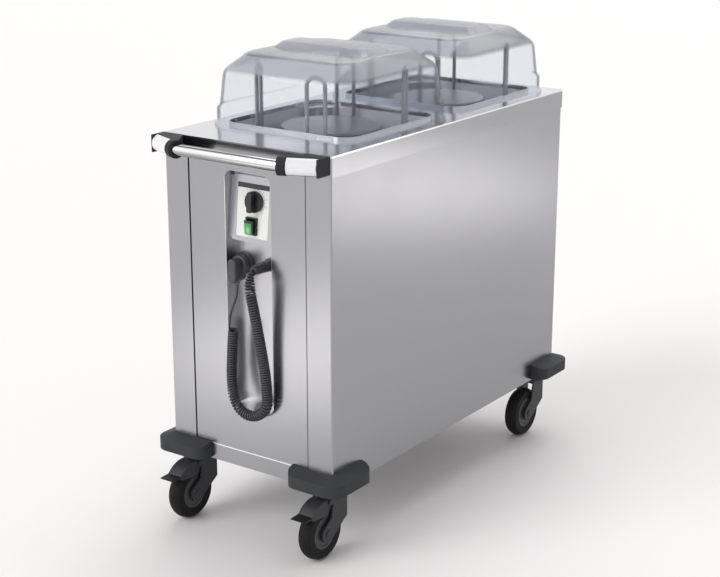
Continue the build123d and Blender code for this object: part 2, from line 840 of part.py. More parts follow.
def make_tyre(name):
    # A solid tyre with a rounded tread.
    x, y = castor_spots[name]
    half = wheel_width / 2
    inner = hub_diameter / 2
    outer = wheel_diameter / 2
    crown = half * 0.4
    with BuildSketch(Plane.XZ) as section:
        with BuildLine():
            start = (outer - crown, half)
            end = (outer - crown, -half)
            Polyline(start, (inner, half - sheet), (inner, sheet - half), end)
            ThreePointArc(end, (outer, 0), start)
        make_face()
    tyre = Rot(0, 90, 0) * revolve(section.sketch, Axis.Z)
    return Pos(x, y - castor_trail, axle_height) * tyre


def make_pedal(name):
    # A curved hood over the wheel with a toe lip, turning on a cross pin between the legs of the fork.
    x, y = castor_spots[name]
    pivot_y, pivot_z = pedal_axis()
    half = fork_inner - turn_gap
    top_back = pivot_z + pedal_pivot / 2 + pedal_plate + turn_gap
    crest = Vector(pivot_y - pedal_pivot, top_back)
    bulge = Vector(-castor_trail - wheel_diameter * 0.23, wheel_diameter * 1.08)
    bend = Vector(-castor_trail - wheel_diameter * 0.41, wheel_diameter * 0.95)
    under = Vector(0, -pedal_plate)
    with BuildSketch() as outline:
        with BuildLine():
            ThreePointArc(crest, bulge, bend)
            Polyline(
                bend,
                (-pedal_tip, bend.Y - pedal_plate / 2),
                (-pedal_tip, bend.Y - 1.5 * pedal_plate),
                (bend.X - pedal_plate, bend.Y - 2 * pedal_plate),
                (bend.X + pedal_plate, wheel_diameter * 0.87),
                (pivot_y - pedal_pivot, wheel_diameter * 0.82),
                (pivot_y + pedal_pivot, pivot_z - pedal_pivot),
                (pivot_y + pedal_pivot, top_back),
                crest,
            )
        make_face()
    with BuildSketch() as inside:
        with BuildLine():
            inner = bend + under + Vector(2 * pedal_plate, 0)
            ThreePointArc(crest + under, bulge + under, inner)
            Polyline(
                inner,
                (inner.X, bend.Y - 2.3 * pedal_plate),
                (bend.X, bend.Y - 2.3 * pedal_plate),
                (bend.X, 0),
                (pivot_y + 3 * pedal_pivot, 0),
                (pivot_y + 3 * pedal_pivot, top_back - pedal_plate),
                crest + under,
            )
        make_face()
    side = outline.sketch
    hollow = inside.sketch
    hood = slab_x(side, -half, 2 * half)
    hood -= slab_x(hollow, -half + pedal_skirt, 2 * half - 2 * pedal_skirt)
    pin = Pos(pivot_y, pivot_z) * Circle(pedal_pivot / 2)
    hood += slab_x(pin, -fork_outer, 2 * fork_outer)
    return Pos(x, y, 0) * hood


# The middle line of the curls, as steps from the end of the boot.
curl_route = [
    (0, 0, -curl_radius),
    (0, -6.5, -curl_radius),
    (1, -16, -curl_radius - 10),
    (4, -16.5, -42),
    (7.5, -9, -85),
    (11, -0.5, -135),
    (14.5, 7.5, -188),
    (19, 13, -239),
    (20, 15, -276),
    (20, 16, -315),
    (-11, 15.5, -346),
    (-55, 16.5, -346),
    (-86, 19.5, -315),
    (-87, 23, -271),
    (-85.8, 25, -228),
    (-84, 25, -183),
    (-80, 25, -149),
]

# The straight tail below the plug, as steps from the foot of its neck.
tail_route = [
    (0, 0, 0),
    (1, 0, -20),
    (-6, -6, -48),
]


def curl_line():
    # Parabolas that touch each run of the route at its middle.
    boot = Vector(gland_x, boot_end, gland_height)
    route = [boot + Vector(*step) for step in curl_route]
    line = []
    for index in range(1, len(route) - 1):
        start = route[0] if index == 1 else (route[index - 1] + route[index]) * 0.5
        end = route[-1] if index == len(route) - 2 else (route[index] + route[index + 1]) * 0.5
        for step in range(curl_steps):
            share = step / curl_steps
            rest = 1 - share
            line.append(start * rest**2 + route[index] * (2 * share * rest) + end * share**2)
    return line + [route[-1]]


class CurlFrame:
    # Place, direction and the two cross directions at a length along the middle line.
    def __init__(self):
        self.line = curl_line()
        last = len(self.line) - 1
        self.along = [0.0]
        for index in range(last):
            self.along.append(self.along[-1] + (self.line[index + 1] - self.line[index]).length)
        self.length = self.along[-1]
        self.ways = []
        for index in range(last + 1):
            low = max(index - 1, 0)
            high = min(index + 1, last)
            self.ways.append((self.line[high] - self.line[low]).normalized())
        self.sides = []
        side = Vector(0, 0, 1)
        for way in self.ways:
            side = (side - way * side.dot(way)).normalized()
            self.sides.append(side)

    def at(self, place):
        place = min(max(place, 0.0), self.length)
        index = min(max(bisect_left(self.along, place), 1), len(self.along) - 1)
        share = (place - self.along[index - 1]) / (self.along[index] - self.along[index - 1])
        rows = (self.line, self.ways, self.sides)
        middle, way, side = (row[index - 1] * (1 - share) + row[index] * share for row in rows)
        way = way.normalized()
        return middle, way, side.normalized(), way.cross(side).normalized()

    def bend(self, place):
        # How sharply the middle line turns over one curl's width.
        low = max(place - curl_radius, 0.0)
        high = min(place + curl_radius, self.length)
        return (self.at(high)[1] - self.at(low)[1]).length / (high - low)

    def point(self, place, turned):
        middle, way, side, cross = self.at(place)
        return middle + (side * cos(turned) + cross * sin(turned)) * curl_radius


def snug_pitches(frame):
    # The pitch along the line: wider where it bends and where the curls hang from the boot.
    lowest = min(range(len(frame.line)), key=lambda index: frame.line[index].Z)
    low_z = frame.line[lowest].Z
    hang = frame.line[0].Z - low_z
    table = []
    for index in range(0, len(frame.line), 10):
        place = frame.along[index]
        weight = (frame.line[index].Z - low_z) / hang if index < lowest else 0.0
        snug = (cord_diameter + curl_gap) / (1 - curl_radius * frame.bend(place))
        table.append((place, snug * (1 + curl_stretch * weight)))
    return table


def pitch_at(table, place):
    index = min(max(bisect_left(table, (place,)), 1), len(table) - 1)
    low, high = table[index - 1], table[index]
    share = (place - low[0]) / (high[0] - low[0])
    return low[1] * (1 - share) + high[1] * share


def wind(frame, table, scale, from_end):
    # Follows the wire from one end to the middle, as lengths along the line and angles turned.
    place = 0.0
    turned = 0.0
    wire = 0.0
    half = frame.length / 2
    states = [(0.0, 0.0)]
    while place < half:
        ramp = min(wire / curl_lead, 1.0)
        ramp = ramp * ramp * (3 - 2 * ramp)
        spot = frame.length - place if from_end else place
        slope = atan(2 * pi * curl_radius / (scale * pitch_at(table, spot))) * ramp
        forward = wire_step * cos(slope)
        share = min(1.0, (half - place) / forward)
        place += forward * share
        turned += share * wire_step * sin(slope) / curl_radius
        wire += wire_step
        states.append((place, turned))
    return states


def curl_states(frame):
    # The whole wire, with the pitch scaled until the number of curls comes out.
    table = snug_pitches(frame)
    scale = 1.0
    for attempt in range(5):
        first = wind(frame, table, scale, False)
        last = wind(frame, table, scale, True)
        total = first[-1][1] + last[-1][1]
        scale *= total / (2 * pi * curl_turns)
    states = first[:-1]
    for place, turned in reversed(last):
        states.append((frame.length - place, total - turned))
    return states


def curl_nodes(frame, states):
    # Points and directions half a turn apart, closer where the wire leads in and out.
    total = states[-1][1]
    angles = [state[1] for state in states]
    nodes = [(frame.point(0.0, 0.0), frame.at(0.0)[1])]
    turned = pi / 4
    while turned < total - 0.1:
        index = bisect_left(angles, turned)
        share = (turned - angles[index - 1]) / (angles[index] - angles[index - 1])
        place = states[index - 1][0] * (1 - share) + states[index][0] * share
        before = frame.point(*states[index - 2])
        after = frame.point(*states[index + 1])
        nodes.append((frame.point(place, turned), (after - before).normalized()))
        near_end = min(turned, total - turned) < 2 * pi - 0.01
        turned += pi / 4 if near_end else pi
    nodes.append((frame.point(frame.length, total), frame.at(frame.length)[1]))
    return nodes


def biarc(start, way, end, out):
    # Two arcs that share a tangent where they meet.
    span = end - start
    spread = 2 * (1 - way.dot(out))
    push = span.dot(way + out)
    reach = (sqrt(push * push + spread * span.dot(span)) - push) / spread
    middle = (start + end + (way - out) * reach) * 0.5
    turn = ((end - out * reach) - (start + way * reach)).normalized()
    return [Edge.make_tangent_arc(start, way, middle), Edge.make_tangent_arc(middle, turn, end)]


def curl_edges():
    frame = CurlFrame()
    nodes = curl_nodes(frame, curl_states(frame))
    start, way = nodes[0]
    end, out = nodes[-1]
    edges = [Edge.make_line(start - way * cord_straight, start)]
    for (point, direction), (next_point, next_direction) in zip(nodes, nodes[1:]):
        edges += biarc(point, direction, next_point, next_direction)
    edges.append(Edge.make_line(end, end + out * cord_straight))
    return edges, way, out


def least_curl_gap(edges):
    # The narrowest gap between one curl and the next.
    spots = []
    for edge in edges[1:-1]:
        count = max(2, int(edge.length / 2))
        spots += [edge.position_at((step + 0.5) / count) for step in range(count)]
    turn = len(spots) / curl_turns
    near, far = int(0.6 * turn), int(1.5 * turn)
    gaps = []
    for index, spot in enumerate(spots[:-near]):
        gaps.append(min((other - spot).length for other in spots[index + near : index + far]))
    return min(gaps) - cord_diameter


def make_cords():
    # The curls from the boot, and the straight tail from the curls up to the plug.
    edges, way, out = curl_edges()
    section = Circle(cord_diameter / 2)
    curl = sweep(Plane(edges[0].position_at(0), z_dir=way) * section, path=Wire(edges))
    tightest = min(edge.radius for edge in edges[1:-1])
    print("curls: least gap", round(least_curl_gap(edges), 3), "least radius", round(tightest, 2))
    neck = Vector(socket_x, neck_y, socket_height - neck_length)
    curl_end = edges[-1].position_at(1)
    points = [neck + Vector(*step) for step in tail_route]
    points += [curl_end + out * (4 * cord_diameter), curl_end]
    radii = []
    for before, corner, after in zip(points, points[1:], points[2:]):
        run_in, run_out = corner - before, after - corner
        half_turn = radians(run_in.get_angle(run_out)) / 2
        radii.append(0.45 * min(run_in.length, run_out.length) / tan(half_turn))
    path = FilletPolyline(*points, radius=radii)
    tail = sweep(Plane(points[0], z_dir=points[1] - points[0]) * section, path=path)
    share = tail.volume / (path.length * pi * cord_diameter**2 / 4)
    print("tail: radii", [round(radius, 1) for radius in radii], "volume share", round(share, 4))
    return curl, tail


cord_curl, cord_tail = make_cords()
pieces = {
    "base_frame": make_base_frame(),
    "side_panel_left": make_side_panel(-1),
    "side_panel_right": make_side_panel(1),
    "front_panel": make_front_panel(),
    "rear_panel": make_end_panel(1),
    "deck": make_deck(),
    "control_recess": make_control_recess(),
    "control_face": make_control_face(),
    "thermostat": make_thermostat(),
    "knob": make_knob(),
    "switch_housing": make_switch_housing(),
    "rocker": make_rocker(),
    "parking_socket": make_parking_socket(),
    "plug": make_plug(),
    "cable_gland": make_cable_gland(),
    "cord_curl": cord_curl,
    "cord_tail": cord_tail,
    "handle_tube": make_handle_tube(),
    "handle_brackets": make_handle_brackets(),
    "handle_caps": make_handle_caps(),
    "bumpers": make_bumpers(),
    "caster_mounts": make_caster_mounts(),
    "lift_columns": make_lift_columns(),
    "heaters": make_heaters(),
}
for well, centre in well_centres.items():
    pieces["well_" + well] = make_well(centre)
    pieces["hood_" + well] = make_hood(centre)
    pieces["platform_" + well] = make_platform(centre)
    pieces["carriage_" + well] = make_carriage(centre)
    pieces["springs_" + well] = make_springs(centre)
    for number, turn in enumerate(guide_turns(), start=1):
        pieces[f"guide_{well}_{number}"] = make_guide(centre, turn)
for name in castor_spots:
    pieces["fork_" + name] = make_fork(name)
    pieces["axle_" + name] = make_axle(name)
    pieces["hub_" + name] = make_hub(name)
    pieces["tyre_" + name] = make_tyre(name)
    if name in braked:
        pieces["pedal_" + name] = make_pedal(name)

# The origin lies on the floor under the middle of the whole object, castors and bumpers included.
boxes = [piece.bounding_box() for node, piece in pieces.items() if not node.startswith("cord")]
frame_shift = -(min(box.min.Y for box in boxes) + max(box.max.Y for box in boxes)) / 2

os.makedirs("parts", exist_ok=True)
for node, piece in pieces.items():
    export_step(Pos(0, frame_shift, 0) * piece, f"parts/{node}.step")
print(len(pieces), "pieces, frame shift", round(frame_shift, 4))
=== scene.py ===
import bmesh
import bpy
import math
from mathutils import Matrix, Vector


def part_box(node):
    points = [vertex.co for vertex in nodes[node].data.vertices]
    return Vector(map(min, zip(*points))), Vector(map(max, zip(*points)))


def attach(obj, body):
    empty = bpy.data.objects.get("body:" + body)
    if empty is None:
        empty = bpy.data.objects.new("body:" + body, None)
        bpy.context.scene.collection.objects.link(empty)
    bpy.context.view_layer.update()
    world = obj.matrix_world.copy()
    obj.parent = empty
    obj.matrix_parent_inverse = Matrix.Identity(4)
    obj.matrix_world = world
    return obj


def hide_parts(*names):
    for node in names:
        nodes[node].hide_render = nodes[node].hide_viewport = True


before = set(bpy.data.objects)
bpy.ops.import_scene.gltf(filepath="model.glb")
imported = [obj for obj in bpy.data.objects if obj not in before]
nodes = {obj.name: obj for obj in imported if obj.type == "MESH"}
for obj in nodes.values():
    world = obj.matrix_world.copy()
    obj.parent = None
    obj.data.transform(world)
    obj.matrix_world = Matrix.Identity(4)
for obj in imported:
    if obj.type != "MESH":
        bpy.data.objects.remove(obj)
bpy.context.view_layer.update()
bpy.context.scene.view_settings.view_transform = "Standard"
print("frame loaded:", len(nodes), "nodes")

# camera at the photograph's place
shot = {"place": (2.07739, -2.98019, 1.57409), "turn": 35.30, "tilt": 16.93, "lens": 79.1645, "sensor": 36.0}
turn, tilt = math.radians(shot["turn"]), math.radians(shot["tilt"])
back = Vector((math.sin(turn) * math.cos(tilt), -math.cos(turn) * math.cos(tilt), math.sin(tilt)))
camera = bpy.data.objects.new("shotCamera", bpy.data.cameras.new("shotCamera"))
bpy.context.scene.collection.objects.link(camera)
camera.data.lens = shot["lens"]
camera.data.sensor_width = shot["sensor"]
camera.location = shot["place"]
camera.rotation_mode = "QUATERNION"
camera.rotation_quaternion = (-back).to_track_quat("-Z", "Y")
bpy.context.scene.camera = camera


class Wire:
    # a socket that takes part in sums
    def __init__(self, finish, socket):
        self.finish = finish
        self.socket = socket

    def calc(self, operation, second=0.0):
        return self.finish.maths(operation, self, second)

    def __add__(self, other):
        return self.calc("ADD", other)

    def __radd__(self, other):
        return self.finish.maths("ADD", other, self)

    def __sub__(self, other):
        return self.calc("SUBTRACT", other)

    def __rsub__(self, other):
        return self.finish.maths("SUBTRACT", other, self)

    def __mul__(self, other):
        return self.calc("MULTIPLY", other)

    def __rmul__(self, other):
        return self.finish.maths("MULTIPLY", other, self)

    def __gt__(self, other):
        return self.calc("GREATER_THAN", other)

    def __lt__(self, other):
        return self.calc("LESS_THAN", other)

    def within(self, low, high):
        return (self > low) * (self < high)

    def sway(self, amount):
        # a noise round 0.5, taken as a change up and down
        return (self - 0.5) * amount

    def ramp(self, low, high):
        # 0 below low, 1 above high, soft between
        values = {0: self, 1: low, 2: high, 3: 0.0, 4: 1.0}
        return self.finish.node("MapRange", {"interpolation_type": "SMOOTHSTEP"}, values)


class Finish:
    # one material and the nodes in it
    def __init__(self, name):
        self.material = bpy.data.materials.new(name)
        self.material.use_nodes = True
        self.tree = self.material.node_tree
        self.tree.nodes.clear()
        self.out = self.tree.nodes.new("ShaderNodeOutputMaterial")

    def node(self, kind, settings=None, values=None, out=0):
        made = self.tree.nodes.new("ShaderNode" + kind)
        for key, value in (settings or {}).items():
            if key == "stops":
                self.setStops(made.color_ramp.elements, value)
            else:
                setattr(made, key, value)
        for key, value in (values or {}).items():
            if isinstance(value, Wire):
                self.tree.links.new(value.socket, made.inputs[key])
            else:
                made.inputs[key].default_value = value
        return Wire(self, made.outputs[out])

    def setStops(self, elements, stops):
        while len(elements) < len(stops):
            elements.new(1.0)
        for element, (position, tone) in zip(elements, stops):
            element.position = position
            element.color = (tone, tone, tone, 1.0)

    def maths(self, operation, first, second):
        return self.node("Math", {"operation": operation}, {0: first, 1: second})

    def place(self):
        return self.node("TexCoord", out="Object")

    def axis(self, letter):
        return self.node("SeparateXYZ", None, {0: self.place()}, letter)

    def noise(self, scale, stretch=(1, 1, 1), detail=2.0):
        spot = self.node("Mapping", None, {"Vector": self.place(), "Scale": stretch})
        return self.node("TexNoise", None, {"Vector": spot, "Scale": scale, "Detail": detail})

    def blend(self, share, first, second):
        values = {0: share, 6: (*first, 1.0) if isinstance(first, tuple) else first}
        values[7] = (*second, 1.0) if isinstance(second, tuple) else second
        return self.node("Mix", {"data_type": "RGBA"}, values, 2)

    def bump(self, height, strength, distance):
        return self.node("Bump", None, {"Height": height, "Strength": strength, "Distance": distance})

    def surface(self, values):
        return self.node("BsdfPrincipled", None, values)

    def done(self, shader):
        self.tree.links.new(shader.socket, self.out.inputs["Surface"])
        return self.material


brushLook = {
    "stretch": 0.02,
    "fine": 2200.0,
    "streak": 260.0,
    "cloud": 5.0,
    "fineTone": 0.10,
    "streakTone": 0.08,
    "cloudTone": 0.05,
    "dark": 0.86,
    "light": 1.14,
    "fineRough": 0.10,
    "cloudRough": 0.06,
    "streakBump": 0.5,
    "bump": 0.0002,
}


def brushedSteel(name, look, extra=None):
    # grain runs along one axis: a stretched fine noise and a few longer streaks
    finish = Finish(name)
    along = tuple(brushLook["stretch"] if letter == look["grain"] else 1 for letter in "xyz")
    fine = finish.noise(brushLook["fine"], along, detail=3.0)
    streak = finish.noise(brushLook["streak"], along)
    cloud = finish.noise(brushLook["cloud"], detail=3.0)
    tone = fine.sway(brushLook["fineTone"]) + streak.sway(brushLook["streakTone"])
    tone = tone + cloud.sway(brushLook["cloudTone"])
    dark = tuple(part * brushLook["dark"] for part in look["colour"])
    light = tuple(min(part * brushLook["light"], 1.0) for part in look["colour"])
    colour = finish.blend(tone + 0.5, dark, light)
    if extra:
        colour = extra(finish, colour)
    rough = look["rough"] + fine.sway(brushLook["fineRough"]) + cloud.sway(brushLook["cloudRough"])
    metal = look.get("metal", 1.0)
    if callable(metal):
        metal = metal(finish)
    values = {"Base Color": colour, "Metallic": metal, "Roughness": rough}
    relief = fine + streak * brushLook["streakBump"]
    values["Normal"] = finish.bump(relief, look["depth"], brushLook["bump"])
    return finish.done(finish.surface(values))


mouldLook = {
    "cloud": 14.0,
    "rubFrom": 0.35,
    "rub": 1.2,
    "grainRough": 0.16,
    "cloudRough": 0.10,
    "bump": 0.0003,
    "gloss": 0.5,
}


def mouldedPlastic(name, look, extra=None):
    # fine spark-eroded grain, slightly paler where it is rubbed
    finish = Finish(name)
    grain = finish.noise(look["grain"])
    cloud = finish.noise(mouldLook["cloud"], detail=3.0)
    pale = tuple(part * look["pale"] for part in look["colour"])
    colour = finish.blend((cloud - mouldLook["rubFrom"]) * mouldLook["rub"], look["colour"], pale)
    if extra:
        colour = extra(finish, colour)
    rough = look["rough"] + grain.sway(mouldLook["grainRough"]) + cloud.sway(mouldLook["cloudRough"])
    gloss = look.get("gloss", mouldLook["gloss"])
    values = {"Base Color": colour, "Roughness": rough, "Specular IOR Level": gloss}
    values["Normal"] = finish.bump(grain, look["depth"], mouldLook["bump"])
    return finish.done(finish.surface(values))


def wear(material, *names):
    for name in names:
        node = nodes[name]
        node.data.materials.clear()
        node.data.materials.append(material)


corners = ["front_left", "front_right", "rear_left", "rear_right"]
wells = ["front", "rear"]
guideNames = [f"guide_{well}_{number}" for well in wells for number in range(1, 5)]

# sheet steel of the cabinet
steelLook = {"colour": (0.375, 0.375, 0.392), "rough": 0.22, "depth": 0.04}
# painted shade: the side panels' steel is set darker than the end panels' steel
shadedSideLook = {
    **steelLook, "colour": (0.328, 0.328, 0.345), "grain": "y",
    "wrapMiddle": 0.021856, "wrap": 0.4845,
}
panelLook = {**steelLook, "grain": "z", "seam": 0.1563, "seamShadeTone": (0.030, 0.030, 0.033)}
railLook = {**steelLook, "grain": "x", "fold": 0.1993, "foldHighlightTone": (0.88, 0.88, 0.88)}
deckLook = {
    "colour": (0.65, 0.65, 0.665),
    "rough": 0.16,
    "depth": 0.03,
    "grain": "y",
    "skirt": (0.34, 0.34, 0.355),
    "bend": 0.8965,
    "bendTop": 0.8990,
    "bendHighlight": (0.80, 0.80, 0.81),
}
recessLook = {
    "colour": (0.47, 0.47, 0.49),
    "rough": 0.30,
    "depth": 0.0,
    "grain": "z",
    "wall": -0.0585,
    "wallFoot": 0.690,
    "wallTop": 0.712,
    "wallShare": 0.5,
    "wallLightTone": (0.93, 0.95, 0.94),
    "wallMatt": 0.9,
}


def cornerWrap(finish, colour):
    # the parts that fold round the corners take the finish of the end panels, without the painted shade of
    # the sides
    along = finish.axis("Y") - shadedSideLook["wrapMiddle"]
    return finish.blend(along.calc("ABSOLUTE") > shadedSideLook["wrap"], colour, steelLook["colour"])


def seamLines(finish, colour):
    # painted shade along the open joints beside the front and rear panels
    joint = finish.axis("X").calc("ABSOLUTE") > panelLook["seam"]
    return finish.blend(joint, colour, panelLook["seamShadeTone"])


def railFold(finish, colour):
    # a painted highlight along the fold at the top of the rail
    return finish.blend(finish.axis("Z") > railLook["fold"], colour, railLook["foldHighlightTone"])


def deckSkirt(finish, colour):
    # painted shade and highlight: the skirt is brushed like the panels and set darker than the top, with a
    # painted highlight on the bend above it
    height = finish.axis("Z")
    colour = finish.blend(height < deckLook["bend"], colour, deckLook["skirt"])
    return finish.blend(height.within(deckLook["bend"], deckLook["bendTop"]), colour, deckLook["bendHighlight"])


def recessWall(finish, colour):
    # painted reflection: the left wall is made pale, most of all beside the control box
    low = recessLook["wallShare"]
    share = finish.axis("Z").ramp(recessLook["wallFoot"], recessLook["wallTop"]) * (1 - low) + low
    return finish.blend(share * (finish.axis("X") < recessLook["wall"]), colour, recessLook["wallLightTone"])


def wallMetal(finish):
    # the wall with the painted reflection mirrors little
    return 1 - (finish.axis("X") < recessLook["wall"]) * recessLook["wallMatt"]


wear(brushedSteel("shadedSideSteel", shadedSideLook, cornerWrap), "side_panel_left", "side_panel_right")
wear(brushedSteel("frontSteel", panelLook, seamLines), "front_panel", "rear_panel")
wear(brushedSteel("railSteel", railLook, railFold), "base_frame")
wear(brushedSteel("deckSteel", deckLook, deckSkirt), "deck")
recessSteel = brushedSteel("recessSteel", recessLook)
wear(brushedSteel("recessWallSteel", {**recessLook, "metal": wallMetal}, recessWall), "control_recess")
wear(recessSteel, "control_face")

# steel inside the wells
shaftLook = {"colour": (0.60, 0.60, 0.63), "rough": 0.42, "depth": 0.06, "grain": "z", "metal": 0.35}
# painted light: the well walls are set pale and matt so they read lighter inside the hoods
brightenedWellLook = {**shaftLook, "colour": (0.85, 0.85, 0.88), "metal": 0.0}
platformLook = {"colour": (0.25, 0.25, 0.27), "rough": 0.34, "depth": 0.05, "grain": "x"}
shaftSteel = brushedSteel("shaftSteel", shaftLook)
wear(brushedSteel("brightenedWellSteel", brightenedWellLook), "well_front", "well_rear")
wear(shaftSteel, "lift_columns", "heaters", "caster_mounts")
wear(shaftSteel, "carriage_front", "carriage_rear", "springs_front", "springs_rear")
wear(brushedSteel("platformSteel", platformLook), "platform_front", "platform_rear")

# bumpers and castors
darkLook = {
    "colour": (0.041, 0.043, 0.046), "pale": 1.35, "rough": 0.58, "grain": 900.0,
    "depth": 0.12, "gloss": 0.15,
}
bracketLook = {**darkLook, "colour": (0.022, 0.023, 0.025)}
forkLook = {
    "colour": (0.038, 0.039, 0.043), "pale": 1.3, "rough": 0.48, "grain": 900.0,
    "depth": 0.10, "gloss": 0.3,
}
hubLook = {"colour": (0.052, 0.054, 0.058), "pale": 1.25, "rough": 0.46, "grain": 900.0, "depth": 0.10}
tyreLook = {
    "colour": (0.007, 0.007, 0.0075), "pale": 1.8, "rough": 0.66, "grain": 500.0,
    "depth": 0.20, "gloss": 0.2,
}
pedalLook = {**forkLook, "lip": -0.5128, "lipShadeTone": (0.008, 0.008, 0.009)}


def pedalLip(finish, colour):
    # painted shade: the lip at the toe end, which faces down, is made black
    return finish.blend(finish.axis("Y") < pedalLook["lip"], colour, pedalLook["lipShadeTone"])


wear(mouldedPlastic("bumperPlastic", darkLook), "bumpers")
wear(mouldedPlastic("bracketPlastic", bracketLook), "handle_brackets")
forkPlastic = mouldedPlastic("forkPlastic", forkLook)
hubPlastic = mouldedPlastic("hubPlastic", hubLook)
tyreRubber = mouldedPlastic("tyreRubber", tyreLook)
for corner in corners:
    wear(forkPlastic, "fork_" + corner, "axle_" + corner)
    wear(hubPlastic, "hub_" + corner)
    wear(tyreRubber, "tyre_" + corner)
wear(mouldedPlastic("pedalPlastic", pedalLook, pedalLip), "pedal_front_left", "pedal_front_right")

# controls, socket, guides and handle covers
blackLook = {"colour": (0.014, 0.014, 0.016), "pale": 1.5, "rough": 0.40, "grain": 1400.0, "depth": 0.08}
rubberLook = {"colour": (0.031, 0.032, 0.036), "pale": 1.5, "rough": 0.44, "grain": 1200.0, "depth": 0.10}
plugLook = {**rubberLook, "colour": (0.048, 0.048, 0.054)}
guideLook = {"colour": (0.30, 0.31, 0.34), "pale": 1.12, "rough": 0.40, "grain": 900.0, "depth": 0.06}
capLook = {"colour": (0.80, 0.80, 0.82), "pale": 1.08, "rough": 0.34, "grain": 1500.0, "depth": 0.04}
wear(mouldedPlastic("blackPlastic", blackLook), "knob", "switch_housing", "thermostat")
wear(mouldedPlastic("socketRubber", rubberLook), "parking_socket", "cable_gland")
wear(mouldedPlastic("plugRubber", plugLook), "plug")
wear(mouldedPlastic("guideCoat", guideLook), *guideNames)
wear(mouldedPlastic("capWhite", capLook), "handle_caps")

rockerLook = {
    "green": (0.055, 0.29, 0.085),
    "highlightGreen": (0.24, 0.62, 0.24),
    "flank": (0.010, 0.022, 0.013),
    # the middle of the painted highlight on the lens
    "lamp": (0.0015, 0.7125),
    "highlightReach": (0.001, 0.009),
    "highlightTall": 0.5,
    "lens": (0.0115, 0.7280),
    "lensSoft": 0.001,
    "lean": 3.0,
    "front": -0.42408,
    "skin": 0.0006,
    "grain": 1500.0,
    "rough": 0.28,
    "grainRough": 0.1,
}


def rockerFinish():
    # green lens on the front face with a painted highlight below its middle, dark flanks
    finish = Finish("rockerGreen")
    high, deep, across = finish.axis("Z"), finish.axis("Y"), finish.axis("X")
    lean = math.radians(rockerLook["lean"])
    inward = deep * math.cos(lean) + high * math.sin(lean) - rockerLook["front"]
    aside, above = across - rockerLook["lamp"][0], high - rockerLook["lamp"][1]
    away = (aside * aside + above * above * rockerLook["highlightTall"]).calc("SQRT")
    lens = finish.blend(1 - away.ramp(*rockerLook["highlightReach"]), rockerLook["green"], rockerLook["highlightGreen"])
    (lensSide, lensTop), soft = rockerLook["lens"], rockerLook["lensSoft"]
    seen = 1 - across.ramp(lensSide - soft, lensSide + soft)
    seen = seen * (1 - high.ramp(lensTop - soft, lensTop + soft))
    colour = finish.blend((inward < rockerLook["skin"]) * seen, rockerLook["flank"], lens)
    rough = rockerLook["rough"] + finish.noise(rockerLook["grain"]).sway(rockerLook["grainRough"])
    return finish.done(finish.surface({"Base Color": colour, "Roughness": rough}))


wear(rockerFinish(), "rocker")
print("finishes on the frame")

# the cord: curls wound round a smooth middle line, then the straight tail up to the plug
cordSize = {
    "thick": 0.005,
    "curlRadius": 0.0095,
    "turns": 97.125,
    "gap": 0.00055,
    "stretch": 0.10,
    "lead": 0.009,
    "tailLead": (0.008, 0.028),
    "inBoot": 0.008,
    "taper": 0.030,
    "startShare": 0.60,
    "startSide": (1, 0, 0),
    "step": 0.0004,
    "perTurn": 16,
    "fits": 4,
    "middleSteps": 60,
    "wireSteps": 3,
    "wireRound": 2,
    "bootEnd": (0.043, -0.497144, 0.638),
    "neckFoot": (-0.030, -0.462144, 0.590),
}
cordLook = {**rubberLook, "colour": (0.032, 0.033, 0.037), "rough": 0.36}
curlRoute = [
    (-0.0028, -0.0045, -0.003), (-0.0025, -0.008, -0.014), (0, -0.012, -0.027), (0.004, -0.0165, -0.042),
    (0.0075, -0.009, -0.085), (0.011, -0.0005, -0.135), (0.0145, 0.0075, -0.188), (0.019, 0.013, -0.239),
    (0.020, 0.015, -0.276), (0.020, 0.016, -0.311), (-0.011, 0.0155, -0.3385), (-0.048, 0.0165, -0.3390),
    (-0.0770, 0.019, -0.314), (-0.0860, 0.023, -0.266), (-0.0850, 0.025, -0.226), (-0.082, 0.025, -0.183),
    (-0.078, 0.025, -0.147),
]
tailRoute = [(-0.006, -0.006, -0.048), (0.001, 0, -0.020), (0, 0, 0)]


def smoothCurve(name, points, steps):
    data = bpy.data.curves.new(name, "CURVE")
    data.dimensions = "3D"
    data.resolution_u = steps
    spline = data.splines.new("NURBS")
    spline.points.add(len(points) - 1)
    for spot, point in zip(spline.points, points):
        spot.co = (*point, 1.0)
    spline.order_u = 3
    spline.use_endpoint_u = True
    piece = bpy.data.objects.new(name, data)
    bpy.context.scene.collection.objects.link(piece)
    return piece


def curveSpots(name, points, steps):
    # the places along a smooth curve that is not kept
    guide = smoothCurve(name, points, steps)
    mesh = bpy.data.meshes.new_from_object(guide)
    spots = [vertex.co.copy() for vertex in mesh.vertices]
    bpy.data.objects.remove(guide)
    bpy.data.meshes.remove(mesh)
    return spots


def eased(share):
    return share * share * (3 - 2 * share)


